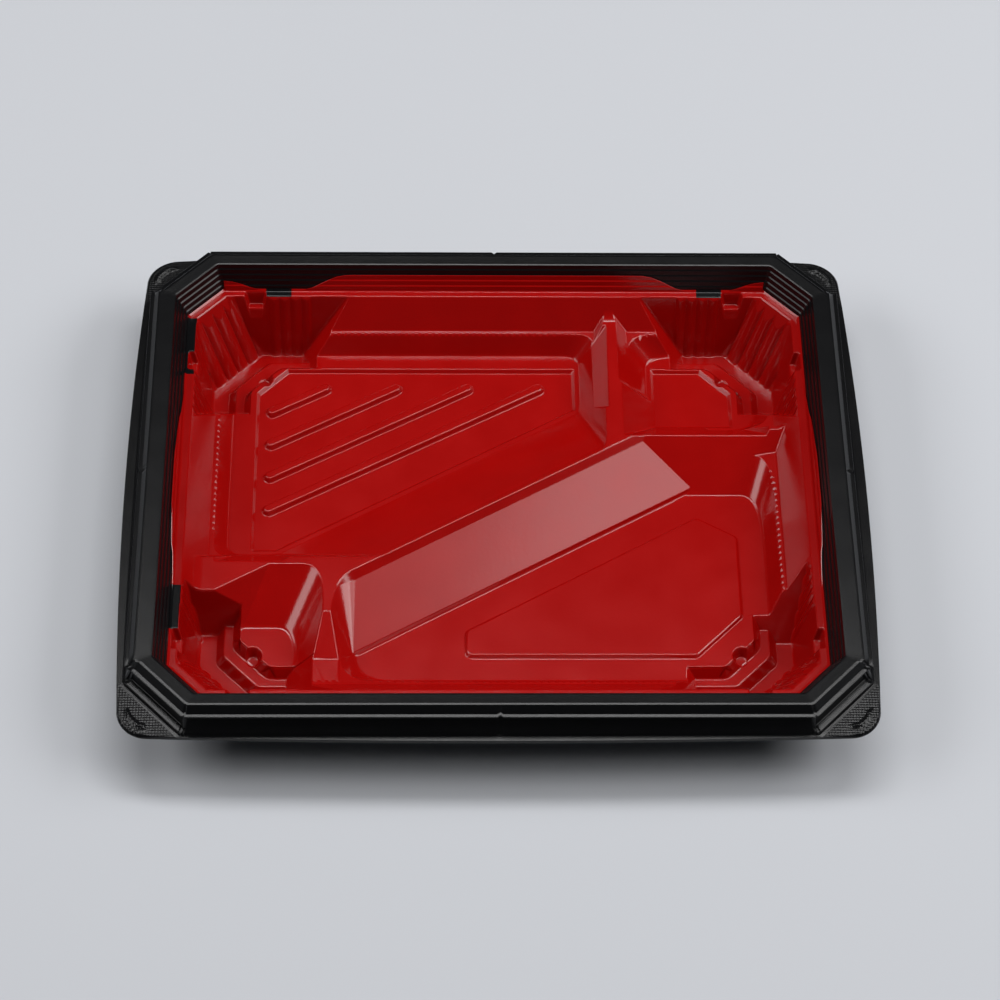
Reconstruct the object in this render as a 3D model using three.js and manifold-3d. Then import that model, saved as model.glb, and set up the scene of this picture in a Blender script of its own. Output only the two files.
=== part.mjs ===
// Four-well lunch tray: a two-ply sheet, thermoformed in one shot. A black sheet carries the form and a red
// printed film lines its food side. Millimetres, +Z up. The tray stands on z = 0, centred on the Z axis,
// long side along X, with the side that faces the diner towards -Y.
import * as THREE from "three";
import { mergeVertices } from "three/addons/utils/BufferGeometryUtils.js";
import Module from "manifold-3d";

const wasm = await Module();
wasm.setup();

// Plies, from the food side down
const FILM = 0.15;
const BOND = 0.1;
const SHEET = 0.55;

// Size over the lip, and the rim: a flat land round an eight-sided opening
const HEIGHT = 34;
const LENGTH = 242;
const WIDTH = 191;
const BORDER_ENDS = 14;
const BORDER_SIDES = 11.6;
const OPENING_CHAMFER = 13.2;
const RIM_LAND = 5;

// Outer skirt and the lip with its four corner tabs
const LIP_DROP = 10.9;
const LIP_CORNER_RADIUS = 10;
const LIP_BULGE_ENDS = 2.6;
const LIP_BULGE_SIDES = 1.6;
const BEAD_DROP = 4.4;
const BEAD_RUN = 2.3;
const SKIRT_RUN = 4.8;

// Throat: a stepped wall from the rim down to the ledge that seats a lid
const THROAT_RUN = 4.25;
const RIDGE_COUNT = 5;
const RIDGE_TREAD = 0.4;
const LEDGE_RUN = 2.15;

// Heights of the food-side face
const LEDGE_LEVEL = 24.8;
const LAND_LEVEL = 19;
const SHELF_LEVEL = 15.2;
const FLOOR_LEVEL = 8.2;
const STEP_LEVEL = 4.4;

// Side walls of the wells: a sloping band, a narrow shelf, then a steep wall to the floor. A lean is the
// sideways run of a wall for each millimetre of its height.
const BAND_LEAN = 0.77;
const SHELF_RUN = 1.5;
const SHELF_RISE = 0.4;
const WALL_LEAN = 0.58;
const WELL_CORNER_RADIUS = 5;
const NEAR_WELL_CORNER_RADIUS = 8.5;

// Main well, behind the diagonal crest: gentle slope up to the crest, sunken floor panel, drain ribs. An
// inset is measured from the edge of the opening.
const CREST_START_X_INSET = 69.2;
const CREST_START_Y_INSET = 59.3;
const CREST_END_INSET = 65.3;
const MAIN_SLOPE_LEAN = 2.18;
const MAIN_NEAR_WIDTH = 16.3;
const MAIN_NEAR_LEAN = 0.7;
const PANEL_SINK = 1.1;
const PANEL_MARGIN_SIDES = 6.8;
const PANEL_MARGIN_ENDS = 8.6;
const PANEL_MARGIN_CORNERS = 3.2;
const PANEL_GAP = 1.5;
const PANEL_EDGE_LEAN = 1;
const RIB_COUNT = 4;
const RIB_TURN = 29;
const RIB_PITCH = 11.7;
const RIB_START_INSET = 32;
const RIB_END_INSET = 32.7;
const RIB_FIRST_INSET = 42.4;
const RIB_WIDTH = 2.6;
const RIB_HEIGHT = 1.5;
const RIB_LEAN = 0.6;

// Front well, before the crest: a step below the crest, a long ramp, a low step to the floor, a raised panel
const CREST_STEP_DROP = 2;
const CREST_STEP_LEAN = 1.25;
const RAMP_LEAN = 2.58;
const RAMP_FOOT = 1.2;
const RAMP_FOOT_LEAN = 0.5;
const FRONT_FAR_LEAN = 1.78;
const RAISED_PANEL = 1;
const RAISED_PANEL_LEAN = 0.6;
const RAISED_PANEL_MARGIN = 9.2;
const RAISED_PANEL_RADIUS = 3;
const RAISED_PANEL_RAMP_GAP = 10.4;
const RAISED_PANEL_LEFT_GAP = 44.65;
const RAISED_PANEL_BACK_GAP = 17.3;

// Divider between the main well and the far well, at the land
const DIVIDER_INSET = 67.7;
const DIVIDER_TOP = 4.6;
const DIVIDER_MAIN_LEAN = 0.74;
const DIVIDER_FAR_LEAN = 0.95;

// Divider between the far well and the front well, at the land
const FAR_NEAR_INSET = 56.9;
const FAR_NEAR_TOP = 1.4;
const FAR_NEAR_LEAN = 0.5;
const FAR_CUT_TURN = 60;
const FAR_CUT_INSET = 35.8;

// Corner well at the near left, and the divider that parts it from the front well. A gentle facet lowers the
// divider towards the near side.
const CORNER_FAR_INSET = 56.6;
const CORNER_FAR_LEAN = 1.59;
const CORNER_CUT_TURN = 30;
const CORNER_CUT_INSET = 33.7;
const CORNER_CUT_LEAN = 1;
const CORNER_DIVIDER_INSET = 52.55;
const CORNER_DIVIDER_TOP = 2.5;
const CORNER_DIVIDER_CORNER_LEAN = 0.8;
const CORNER_DIVIDER_FRONT_LEAN = 0.71;
const FACET_INSET = 38.7;
const FACET_LEAN = 4.1;

// Hollow feet: a channel round each corner, with a step on its inner side
const FOOT_END_X_INSET = 57.7;
const FOOT_END_X_LEAN = 0.675;
const FOOT_END_Y_INSET = 56.4;
const FOOT_END_Y_LEAN = 0.77;
const CORNER_FOOT_END_INSET = 48.3;
const CORNER_FOOT_END_LEAN = 0.3;
const FOOT_END_WALL_LEAN = 0.2;
const FOOT_SIDE_WALL_LEAN = 0.27;
const FOOT_CHAMFER_LEAN = 0.49;
const FLOOR_EDGE_INSET = 24.2;
const FLOOR_EDGE_CHAMFER_INSET = 32;
const FLOOR_EDGE_LEAN = 0.53;
const STEP_EDGE_INSET = 19.2;
const STEP_EDGE_CHAMFER_INSET = 25.9;
const STEP_EDGE_LEAN = 0.68;

// Stacking notches in the ledge, two at each corner
const NOTCH_WIDTH = 7;
const NOTCH_DROP = 5;
const NOTCH_LEAN = 0.2;
const NOTCH_X_INSET = 25.8;
const NOTCH_Y_INSET = 33.6;
const NOTCH_REACH_IN = 3;

// Upper edge of the printed film on the throat: an arch on each side, down to the ledge at the corners. Its
// flat top and its feet are given as shares of the opening.
const PRINT_RISE_SIDES = 5.4;
const PRINT_RISE_ENDS = 3.7;
const PRINT_FLAT_SHARE_SIDES = 0.467;
const PRINT_FOOT_SHARE_SIDES = 0.636;
const PRINT_FLAT_SHARE_ENDS = 0.095;
const PRINT_FOOT_SHARE_ENDS = 0.548;
const PRINT_ABOVE_LEDGE = 0.2;

// Facets
const CORNER_STEPS = 3;
const LIP_CORNER_STEPS = 6;
const SIDE_STEPS = 6;
const RIB_STEPS = 5;
const PRINT_STEPS = 5;
const OVERLAP = 0.4;
const FILLET_ROOM = 0.45;

const FACE = FILM + BOND;
const FOOT_LEVEL = FACE + SHEET;
const PANEL_LEVEL = FLOOR_LEVEL - PANEL_SINK;
const HALF_LENGTH = LENGTH / 2 - BORDER_ENDS;
const HALF_WIDTH = WIDTH / 2 - BORDER_SIDES;
const HALF_DIAGONAL = (HALF_LENGTH + HALF_WIDTH - OPENING_CHAMFER) * Math.SQRT1_2;
const LEDGE_INSET = THROAT_RUN + LEDGE_RUN;
const SHELF_INSET = LEDGE_INSET + BAND_LEAN * (LEDGE_LEVEL - SHELF_LEVEL - SHELF_RISE) + SHELF_RUN;
const FLOOR_INSET = SHELF_INSET + WALL_LEAN * (SHELF_LEVEL - FLOOR_LEVEL);
const DIVIDER_X = HALF_LENGTH - DIVIDER_INSET;
const CORNER_DIVIDER_X = CORNER_DIVIDER_INSET - HALF_LENGTH;
const FAR_NEAR_Y = HALF_WIDTH - FAR_NEAR_INSET;
const CORNER_FAR_Y = CORNER_FAR_INSET - HALF_WIDTH;

// Bearings in degrees from +X
const RIGHT = 0;
const FAR_RIGHT = 45;
const FAR = 90;
const FAR_LEFT = 135;
const LEFT = 180;
const NEAR_LEFT = 225;
const NEAR = 270;
const NEAR_RIGHT = 315;
const TURN = 360;
const EIGHTHS = [RIGHT, FAR_RIGHT, FAR, FAR_LEFT, LEFT, NEAR_LEFT, NEAR, NEAR_RIGHT];

const BLACK_SHEET = new THREE.MeshStandardMaterial({ color: 0x1d1d1f, roughness: 0.42, metalness: 0 });
const RED_FILM = new THREE.MeshStandardMaterial({ color: 0x9c1410, roughness: 0.22, metalness: 0 });

// A solid from a closed geometry, for joining and cutting
function toSolid(geometry) {
  const mesh = new wasm.Mesh({
    numProp: 3,
    vertProperties: Float32Array.from(geometry.getAttribute("position").array),
    triVerts: Uint32Array.from(geometry.getIndex().array),
  });
  return new wasm.Manifold(mesh);
}

// A named mesh of a finished solid
function toMesh(solid, name, material) {
  const { vertProperties, triVerts } = solid.getMesh();
  const geometry = new THREE.BufferGeometry();
  geometry.setAttribute("position", new THREE.BufferAttribute(vertProperties, 3));
  geometry.setIndex(new THREE.BufferAttribute(triVerts, 1));
  geometry.computeVertexNormals();
  const mesh = new THREE.Mesh(geometry, material);
  mesh.name = name;
  return mesh;
}

const joined = (solids) => solids.reduce((whole, solid) => whole.add(solid));

// A closed solid skinned over rings of plan points, given from the lowest level to the highest
function loft(rings) {
  const count = rings[0].points.length;
  const positions = rings.flatMap(({ points, level }) => points.flatMap(({ x, y }) => [x, y, level]));
  const top = (rings.length - 1) * count;
  const faces = [];
  for (const [a, b, c] of THREE.ShapeUtils.triangulateShape(rings[0].points, [])) {
    faces.push(a, c, b);
  }
  for (const [a, b, c] of THREE.ShapeUtils.triangulateShape(rings.at(-1).points, [])) {
    faces.push(top + a, top + b, top + c);
  }
  for (let base = 0; base < top; base += count) {
    for (let i = 0; i < count; i += 1) {
      const j = (i + 1) % count;
      faces.push(base + i, base + j, base + count + j);
      faces.push(base + i, base + count + j, base + count + i);
    }
  }
  const geometry = new THREE.BufferGeometry();
  geometry.setAttribute("position", new THREE.Float32BufferAttribute(positions, 3));
  geometry.setIndex(faces);
  return toSolid(geometry);
}

// A plane of a wall: its reach from the centre along the wall's bearing at a level, and its lean
const plane = (reach, level, lean) => ({ reach, level, lean });

// A wall: the bearing that it faces out of its well, in degrees from +X, and its planes from the foot up
const wall = (bearing, ...planes) => ({ bearing, planes });

// Reach of a plane at a level, for a face that lies a depth below the food side
function planeReach({ reach, level, lean }, z, depth) {
  return reach + lean * (z - level) + depth * Math.hypot(1, lean);
}

// Level where one plane of a wall gives way to the next
function breakLevel(lower, upper, depth) {
  const gap = planeReach(upper, 0, depth) - planeReach(lower, 0, depth);
  return gap / (lower.lean - upper.lean);
}

function breakLevels({ planes }, depth) {
  return planes.slice(1).map((upper, i) => breakLevel(planes[i], upper, depth));
}

function wallReach(each, z, depth) {
  const stage = breakLevels(each, depth).filter((level) => z > level).length;
  return planeReach(each.planes[stage], z, depth);
}

const isChamfer = (bearing) => bearing % FAR !== 0;
const isEnd = (bearing) => bearing % LEFT === 0;

// How far the edge of the opening lies from the centre along a bearing in eighths of a turn
function openingReach(bearing) {
  if (isChamfer(bearing)) {
    return HALF_DIAGONAL;
  }
  return isEnd(bearing) ? HALF_LENGTH : HALF_WIDTH;
}

// Reach of a plane that faces along a bearing and runs through a plan point
function reachThrough(bearing, x, y) {
  const angle = THREE.MathUtils.degToRad(bearing);
  return x * Math.cos(angle) + y * Math.sin(angle);
}

// The crest's line in plan, from the near left to the main well's divider
const CREST_START = new THREE.Vector2(CREST_START_X_INSET - HALF_LENGTH, CREST_START_Y_INSET - HALF_WIDTH);
const CREST_END = new THREE.Vector2(DIVIDER_X - DIVIDER_TOP / 2, HALF_WIDTH - CREST_END_INSET);
const CREST_TURN = THREE.MathUtils.radToDeg(CREST_END.clone().sub(CREST_START).angle());
const CREST_REACH = reachThrough(NEAR + CREST_TURN, CREST_START.x, CREST_START.y);
const sidePlane = (bearing, inset, level, lean) => plane(openingReach(bearing) - inset, level, lean);
const sideWall = (bearing, inset, level, lean) => wall(bearing, sidePlane(bearing, inset, level, lean));
const octagonWalls = (inset, level, lean) => EIGHTHS.map((bearing) => sideWall(bearing, inset, level, lean));

// Side wall of a well: steep from the floor, a narrow shelf, then the sloping band up to the ledge
function wellSide(bearing) {
  return wall(
    bearing,
    sidePlane(bearing, SHELF_INSET, SHELF_LEVEL, WALL_LEAN),
    sidePlane(bearing, SHELF_INSET, SHELF_LEVEL, SHELF_RUN / SHELF_RISE),
    sidePlane(bearing, LEDGE_INSET, LEDGE_LEVEL, BAND_LEAN),
  );
}

// Where two neighbouring walls meet at a level
function meeting(first, second, z, depth) {
  const a = THREE.MathUtils.degToRad(first.bearing);
  const b = THREE.MathUtils.degToRad(second.bearing);
  const p = wallReach(first, z, depth);
  const q = wallReach(second, z, depth);
  const x = p * Math.sin(b) - q * Math.sin(a);
  const y = q * Math.cos(a) - p * Math.cos(b);
  return new THREE.Vector2(x, y).divideScalar(Math.sin(b - a));
}

// Round a corner of an outline, with a fillet no longer than its two edges allow
function filleted(before, corner, after, radius) {
  const back = before.clone().sub(corner);
  const ahead = after.clone().sub(corner);
  const half = Math.acos(back.dot(ahead) / (back.length() * ahead.length())) / 2;
  const turn = Math.sign(ahead.cross(back));
  const room = FILLET_ROOM * Math.min(back.length(), ahead.length());
  const round = Math.min(radius / Math.tan(half), room) * Math.tan(half);
  const inward = back.normalize().add(ahead.normalize()).normalize();
  const centre = corner.clone().addScaledVector(inward, round / Math.sin(half));
  const middle = inward.clone().multiplyScalar(-round);
  const sweep = turn * (Math.PI - 2 * half);
  return Array.from({ length: CORNER_STEPS + 1 }, (_, step) => {
    const angle = sweep * (step / CORNER_STEPS - 0.5);
    return middle.clone().rotateAround(new THREE.Vector2(), angle).add(centre);
  });
}

// Plan outline that a ring of walls makes at a level
function outlineAt(walls, z, depth, radius = 0) {
  const count = walls.length;
  const corners = walls.map((each, i) => meeting(each, walls[(i + 1) % count], z, depth));
  if (radius === 0) {
    return corners;
  }
  return corners.flatMap((corner, i) =>
    filleted(corners[(i + count - 1) % count], corner, corners[(i + 1) % count], radius));
}

// The space over a well's floor, between drafted walls, up to the level where it opens into what lies above
function well({ walls, floor, opening, radius }, depth) {
  const bottom = floor - depth;
  const top = opening - depth;
  const breaks = walls.flatMap((each) => breakLevels(each, depth)).filter((z) => z > bottom && z < top);
  const levels = [...new Set([bottom, ...breaks.sort((a, b) => a - b), top])];
  const rings = levels.map((level) => ({ points: outlineAt(walls, level, depth, radius), level }));
  return loft([...rings, { ...rings.at(-1), level: top + OVERLAP }]);
}

// A raised form with drafted walls, from far below the sheet up to its top
function island({ walls, top, radius }, depth) {
  const ring = (level) => ({ points: outlineAt(walls, level, -depth, radius), level });
  return loft([ring(-HEIGHT), ring(top - depth)]);
}

// Stepped throat: one shallow well for each ridge, each narrower and deeper than the one above
function throat(depth) {
  const fall = HEIGHT + FACE - LEDGE_LEVEL;
  const step = fall / RIDGE_COUNT;
  const riserLean = (THROAT_RUN - RIDGE_COUNT * RIDGE_TREAD) / fall;
  const ridges = Array.from({ length: RIDGE_COUNT }, (_, i) => {
    const opening = HEIGHT + FACE - i * step;
    const inset = i * (RIDGE_TREAD + riserLean * step);
    return well({ walls: octagonWalls(inset, opening, riserLean), floor: opening - step, opening }, depth);
  });
  return joined(ridges);
}

// Sloping band below the ledge, all round, down to the land between the wells
function bowl(depth) {
  const walls = octagonWalls(LEDGE_INSET, LEDGE_LEVEL, BAND_LEAN);
  return well({ walls, floor: LAND_LEVEL, opening: LEDGE_LEVEL }, depth);
}

// A well that opens at the land
function landWell(walls, radius, depth) {
  return well({ walls, floor: FLOOR_LEVEL, opening: LAND_LEVEL, radius }, depth);
}

// How far the edge of a sunken panel lies inside the opening, along a side of the tray or across its corner
function panelInset(bearing) {
  if (isChamfer(bearing)) {
    return FLOOR_EDGE_CHAMFER_INSET + PANEL_MARGIN_CORNERS;
  }
  return FLOOR_INSET + (isEnd(bearing) ? PANEL_MARGIN_ENDS : PANEL_MARGIN_SIDES);
}

const panelEdge = (bearing) => sideWall(bearing, panelInset(bearing), PANEL_LEVEL, PANEL_EDGE_LEAN);

// Edge of a sunken panel along a wall to a neighbouring well
function panelFoot({ bearing, planes: [lowest] }) {
  return wall(bearing, plane(planeReach(lowest, FLOOR_LEVEL, 0) - PANEL_GAP, FLOOR_LEVEL, PANEL_EDGE_LEAN));
}

// A sunken floor panel, with corners that run beside those of its well
function sunkenPanel(walls, depth) {
  const radius = WELL_CORNER_RADIUS - PANEL_GAP;
  return well({ walls, floor: PANEL_LEVEL, opening: FLOOR_LEVEL, radius }, depth);
}

// Main well: sides to the far and left, the divider on its right, the crest's long slope in front
function mainWell(depth) {
  const sides = [FAR, FAR_LEFT, LEFT];
  const right = wall(RIGHT, plane(DIVIDER_X - DIVIDER_TOP / 2, LAND_LEVEL, DIVIDER_MAIN_LEAN));
  const slope = plane(CREST_REACH, LAND_LEVEL, MAIN_SLOPE_LEAN);
  const crest = wall(NEAR + CREST_TURN, slope);
  const nearX = FLOOR_INSET + MAIN_NEAR_WIDTH - HALF_LENGTH;
  const turn = THREE.MathUtils.degToRad(CREST_TURN);
  const nearReach = (planeReach(slope, FLOOR_LEVEL, 0) - nearX * Math.sin(turn)) / Math.cos(turn);
  const near = wall(NEAR, plane(nearReach, FLOOR_LEVEL, MAIN_NEAR_LEAN));
  const edges = [panelFoot(right), ...sides.map(panelEdge), panelFoot(near), panelFoot(crest)];
  const walls = [right, ...sides.map(wellSide), near, crest];
  return landWell(walls, WELL_CORNER_RADIUS, depth).add(sunkenPanel(edges, depth));
}

// Far well: square behind its divider, and widening towards the right-hand end
function farWell(depth) {
  const sides = [RIGHT, FAR_RIGHT, FAR];
  const nearY = FAR_NEAR_Y + FAR_NEAR_TOP / 2;
  const cutReach = reachThrough(LEFT + FAR_CUT_TURN, HALF_LENGTH - FAR_CUT_INSET, nearY);
  const left = wall(LEFT, plane(-(DIVIDER_X + DIVIDER_TOP / 2), LAND_LEVEL, DIVIDER_FAR_LEAN));
  const near = wall(NEAR, plane(-nearY, LAND_LEVEL, FAR_NEAR_LEAN));
  const cut = wall(LEFT + FAR_CUT_TURN, plane(cutReach, LAND_LEVEL, FAR_NEAR_LEAN));
  const edges = [...sides.map(panelEdge), panelFoot(left), panelFoot(near)];
  const walls = [...sides.map(wellSide), left, near, cut];
  return landWell(walls, WELL_CORNER_RADIUS, depth).add(sunkenPanel(edges, depth));
}

// The three planes between the crest and the front well's floor: a step down, the long ramp, a low step
function rampPlanes() {
  const top = LAND_LEVEL - CREST_STEP_DROP;
  const foot = FLOOR_LEVEL + RAMP_FOOT;
  const head = plane(-CREST_REACH, LAND_LEVEL, CREST_STEP_LEAN);
  const ramp = plane(planeReach(head, top, 0), top, RAMP_LEAN);
  return [plane(planeReach(ramp, foot, 0), foot, RAMP_FOOT_LEAN), ramp, head];
}

// The slope behind the front well, up to the far well's divider
const frontBack = () => plane(FAR_NEAR_Y - FAR_NEAR_TOP / 2, LAND_LEVEL, FRONT_FAR_LEAN);

// Front well: sides to the near and right, the ramp behind it and the corner well's divider on its left
function frontWell(depth) {
  const back = wall(FAR, frontBack());
  const ramp = wall(FAR + CREST_TURN, ...rampPlanes());
  const leftReach = -(CORNER_DIVIDER_X + CORNER_DIVIDER_TOP / 2);
  const left = wall(LEFT, plane(leftReach, LAND_LEVEL, CORNER_DIVIDER_FRONT_LEAN));
  const walls = [wellSide(RIGHT), back, ramp, left, wellSide(NEAR), wellSide(NEAR_RIGHT)];
  return landWell(walls, NEAR_WELL_CORNER_RADIUS, depth);
}

// Corner well at the near left, with its far left corner cut off
function cornerWell(depth) {
  const rightReach = CORNER_DIVIDER_X - CORNER_DIVIDER_TOP / 2;
  const right = wall(RIGHT, plane(rightReach, LAND_LEVEL, CORNER_DIVIDER_CORNER_LEAN));
  const back = wall(FAR, plane(CORNER_FAR_Y, LAND_LEVEL, CORNER_FAR_LEAN));
  const cutReach = reachThrough(FAR + CORNER_CUT_TURN, CORNER_CUT_INSET - HALF_LENGTH, CORNER_FAR_Y);
  const cut = wall(FAR + CORNER_CUT_TURN, plane(cutReach, LAND_LEVEL, CORNER_CUT_LEAN));
  const walls = [right, back, cut, ...[LEFT, NEAR_LEFT, NEAR].map(wellSide)];
  return landWell(walls, NEAR_WELL_CORNER_RADIUS, depth);
}

// Facet cut across the corner well's divider, from the land down to the shelf, out to where both wells are
// deeper than it
function dividerFacet(depth) {
  const spread = CORNER_DIVIDER_CORNER_LEAN + CORNER_DIVIDER_FRONT_LEAN;
  const half = CORNER_DIVIDER_TOP + spread * (LAND_LEVEL - SHELF_LEVEL);
  const walls = [
    wall(RIGHT, plane(CORNER_DIVIDER_X + half, LAND_LEVEL, 0)),
    wall(FAR, plane(FACET_INSET - HALF_WIDTH, LAND_LEVEL, FACET_LEAN)),
    wall(LEFT, plane(half - CORNER_DIVIDER_X, LAND_LEVEL, 0)),
    wellSide(NEAR),
  ];
  return well({ walls, floor: SHELF_LEVEL, opening: LAND_LEVEL }, depth);
}

// What the feet are sunk beside: everything over the floor's edge, with the step round it
function footIsland(depth) {
  const edges = (inset, chamferInset, level, lean) =>
    EIGHTHS.map((bearing) => sideWall(bearing, isChamfer(bearing) ? chamferInset : inset, level, -lean));
  const floorEdges = edges(FLOOR_EDGE_INSET, FLOOR_EDGE_CHAMFER_INSET, FLOOR_LEVEL, FLOOR_EDGE_LEAN);
  const stepEdges = edges(STEP_EDGE_INSET, STEP_EDGE_CHAMFER_INSET, STEP_LEVEL, STEP_EDGE_LEAN);
  const floorEdge = outlineAt(floorEdges, FLOOR_LEVEL - depth, -depth);
  const floor = island({ walls: floorEdges, top: FLOOR_LEVEL }, depth);
  const over = loft([
    { points: floorEdge, level: FLOOR_LEVEL - depth - OVERLAP },
    { points: floorEdge, level: HEIGHT },
  ]);
  const step = island({ walls: stepEdges, top: STEP_LEVEL }, depth);
  return floor.add(over).add(step);
}

// Hollow foot at one corner: a drafted pocket from the ledge down, less the floor that it runs round
function foot(signX, signY, depth) {
  const outX = signX > 0 ? RIGHT : LEFT;
  const outY = signY > 0 ? FAR : NEAR;
  const between = (outX + FAR_RIGHT * signX * signY + TURN) % TURN;
  const besideCornerWell = signX < 0 && signY < 0;
  const endX = HALF_LENGTH - FOOT_END_X_INSET;
  const endY = HALF_WIDTH - (besideCornerWell ? CORNER_FOOT_END_INSET : FOOT_END_Y_INSET);
  const endLean = besideCornerWell ? CORNER_FOOT_END_LEAN : FOOT_END_Y_LEAN;
  const walls = [
    sideWall(outX, LEDGE_INSET, LEDGE_LEVEL, FOOT_END_WALL_LEAN),
    sideWall(outY, LEDGE_INSET, LEDGE_LEVEL, FOOT_SIDE_WALL_LEAN),
    sideWall(between, LEDGE_INSET, LEDGE_LEVEL, FOOT_CHAMFER_LEAN),
    wall(LEFT - outX, plane(-endX, LEDGE_LEVEL, FOOT_END_X_LEAN)),
    wall(TURN - outY, plane(-endY, LEDGE_LEVEL, endLean)),
  ];
  walls.sort((a, b) => a.bearing - b.bearing);
  return well({ walls, floor: FOOT_LEVEL, opening: LEDGE_LEVEL }, depth).subtract(footIsland(depth));
}

// Stacking notch: a small drafted pocket that cuts the ledge on one side of a corner
function notch(bearing, centre, depth) {
  const across = (bearing + FAR) % LEFT;
  const end = (turn) =>
    wall(turn, plane((turn < LEFT ? centre : -centre) + NOTCH_WIDTH / 2, LEDGE_LEVEL, NOTCH_LEAN));
  const innerReach = LEDGE_INSET + NOTCH_REACH_IN - openingReach(bearing);
  const walls = [
    sideWall(bearing, THROAT_RUN, LEDGE_LEVEL, NOTCH_LEAN),
    wall((bearing + LEFT) % TURN, plane(innerReach, LEDGE_LEVEL, NOTCH_LEAN)),
    end(across),
    end(across + LEFT),
  ];
  walls.sort((a, b) => a.bearing - b.bearing);
  return well({ walls, floor: LEDGE_LEVEL - NOTCH_DROP, opening: LEDGE_LEVEL }, depth);
}

// Both notches and the foot of every corner
function corners(depth) {
  const parts = [-1, 1].flatMap((signX) => [-1, 1].flatMap((signY) => [
    foot(signX, signY, depth),
    notch(signY > 0 ? FAR : NEAR, signX * (HALF_LENGTH - NOTCH_X_INSET), depth),
    notch(signX > 0 ? RIGHT : LEFT, signY * (HALF_WIDTH - NOTCH_Y_INSET), depth),
  ]));
  return joined(parts);
}

// Outline of a rib's round-ended bar at a half width
function barOutline(start, end, halfWidth) {
  const heading = Math.atan2(end.y - start.y, end.x - start.x);
  const cap = (centre, from) => Array.from({ length: RIB_STEPS + 1 }, (_, step) => {
    const angle = heading + from + (Math.PI * step) / RIB_STEPS;
    return new THREE.Vector2(Math.cos(angle), Math.sin(angle)).multiplyScalar(halfWidth).add(centre);
  });
  return [...cap(end, -Math.PI / 2), ...cap(start, Math.PI / 2)];
}

// Drain ribs on the main well's floor, near enough along the crest, each ending beside the far side
function drainRibs(depth) {
  const top = PANEL_LEVEL + RIB_HEIGHT;
  const startX = RIB_START_INSET - HALF_LENGTH;
  const endY = HALF_WIDTH - RIB_END_INSET;
  const slope = Math.tan(THREE.MathUtils.degToRad(RIB_TURN));
  const fall = RIB_PITCH / Math.cos(THREE.MathUtils.degToRad(RIB_TURN));
  const ribs = Array.from({ length: RIB_COUNT }, (_, i) => {
    const start = new THREE.Vector2(startX, HALF_WIDTH - RIB_FIRST_INSET - i * fall);
    const end = new THREE.Vector2(startX + (endY - start.y) / slope, endY);
    const halfAt = (z) => RIB_WIDTH / 2 + RIB_LEAN * (top - z) - depth * Math.hypot(1, RIB_LEAN);
    const ring = (level) => ({ points: barOutline(start, end, halfAt(level)), level });
    return loft([ring(FOOT_LEVEL - depth), ring(top - depth)]);
  });
  return joined(ribs);
}

// Raised panel on the front well's floor
function raisedPanel(depth) {
  const top = FLOOR_LEVEL + RAISED_PANEL;
  const lean = -RAISED_PANEL_LEAN;
  const inset = FLOOR_INSET + RAISED_PANEL_MARGIN;
  const [rampFoot] = rampPlanes();
  const backY = planeReach(frontBack(), FLOOR_LEVEL, 0) - RAISED_PANEL_BACK_GAP;
  const walls = [
    sideWall(RIGHT, inset, top, lean),
    wall(FAR_CUT_TURN, plane(reachThrough(FAR_CUT_TURN, HALF_LENGTH - inset, backY), top, lean)),
    wall(FAR + CREST_TURN, plane(planeReach(rampFoot, FLOOR_LEVEL, 0) - RAISED_PANEL_RAMP_GAP, top, lean)),
    wall(LEFT, plane(-(CORNER_DIVIDER_X + RAISED_PANEL_LEFT_GAP), top, lean)),
    sideWall(NEAR, inset, top, lean),
    sideWall(NEAR_RIGHT, FLOOR_EDGE_CHAMFER_INSET + RAISED_PANEL_MARGIN, top, lean),
  ];
  return island({ walls, top, radius: RAISED_PANEL_RADIUS }, depth);
}

// All the space that the tray holds
function hollow(depth) {
  const parts = [throat, bowl, mainWell, farWell, frontWell, cornerWell, dividerFacet, corners];
  const spaces = parts.map((part) => part(depth));
  return joined(spaces).subtract(drainRibs(depth)).subtract(raisedPanel(depth));
}

// Points along an outline's edge that bows out in its middle
function bowed(from, to, bulge) {
  const out = new THREE.Vector2(to.y - from.y, from.x - to.x).normalize();
  return Array.from({ length: SIDE_STEPS }, (_, step) => {
    const along = step / SIDE_STEPS;
    const bow = bulge * 4 * along * (1 - along);
    return from.clone().lerp(to, along).addScaledVector(out, bow);
  });
}

// Ring of the outer skirt: an eight-sided outline outside the opening, its four long sides bowed
function skirtRing(run, bulgeShare, level, depth) {
  const corners8 = outlineAt(octagonWalls(-RIM_LAND - run, 0, 0), 0, -depth);
  const bulges = [LIP_BULGE_ENDS, 0, LIP_BULGE_SIDES, 0, LIP_BULGE_ENDS, 0, LIP_BULGE_SIDES, 0];
  const points = corners8.flatMap((_, i) =>
    bowed(corners8[(i + 7) % 8], corners8[i], bulges[i] * bulgeShare));
  return { points, level };
}

// Outline of the lip: a round-cornered rectangle with bowed sides
function lipOutline(grow) {
  const radius = LIP_CORNER_RADIUS + grow;
  const x = LENGTH / 2 - LIP_BULGE_ENDS + grow - radius;
  const y = WIDTH / 2 - LIP_BULGE_SIDES + grow - radius;
  const centres = [[x, y], [-x, y], [-x, -y], [x, -y]];
  const arcs = centres.map(([centreX, centreY], i) => {
    const from = (i * Math.PI) / 2;
    return new THREE.ArcCurve(centreX, centreY, radius, from, from + Math.PI / 2).getPoints(LIP_CORNER_STEPS);
  });
  const bulges = [LIP_BULGE_SIDES, LIP_BULGE_ENDS, LIP_BULGE_SIDES, LIP_BULGE_ENDS];
  return arcs.flatMap((arc, i) => {
    const [next] = arcs[(i + 1) % arcs.length];
    return [...arc.slice(0, -1), ...bowed(arc.at(-1), next, bulges[i])];
  });
}

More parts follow.
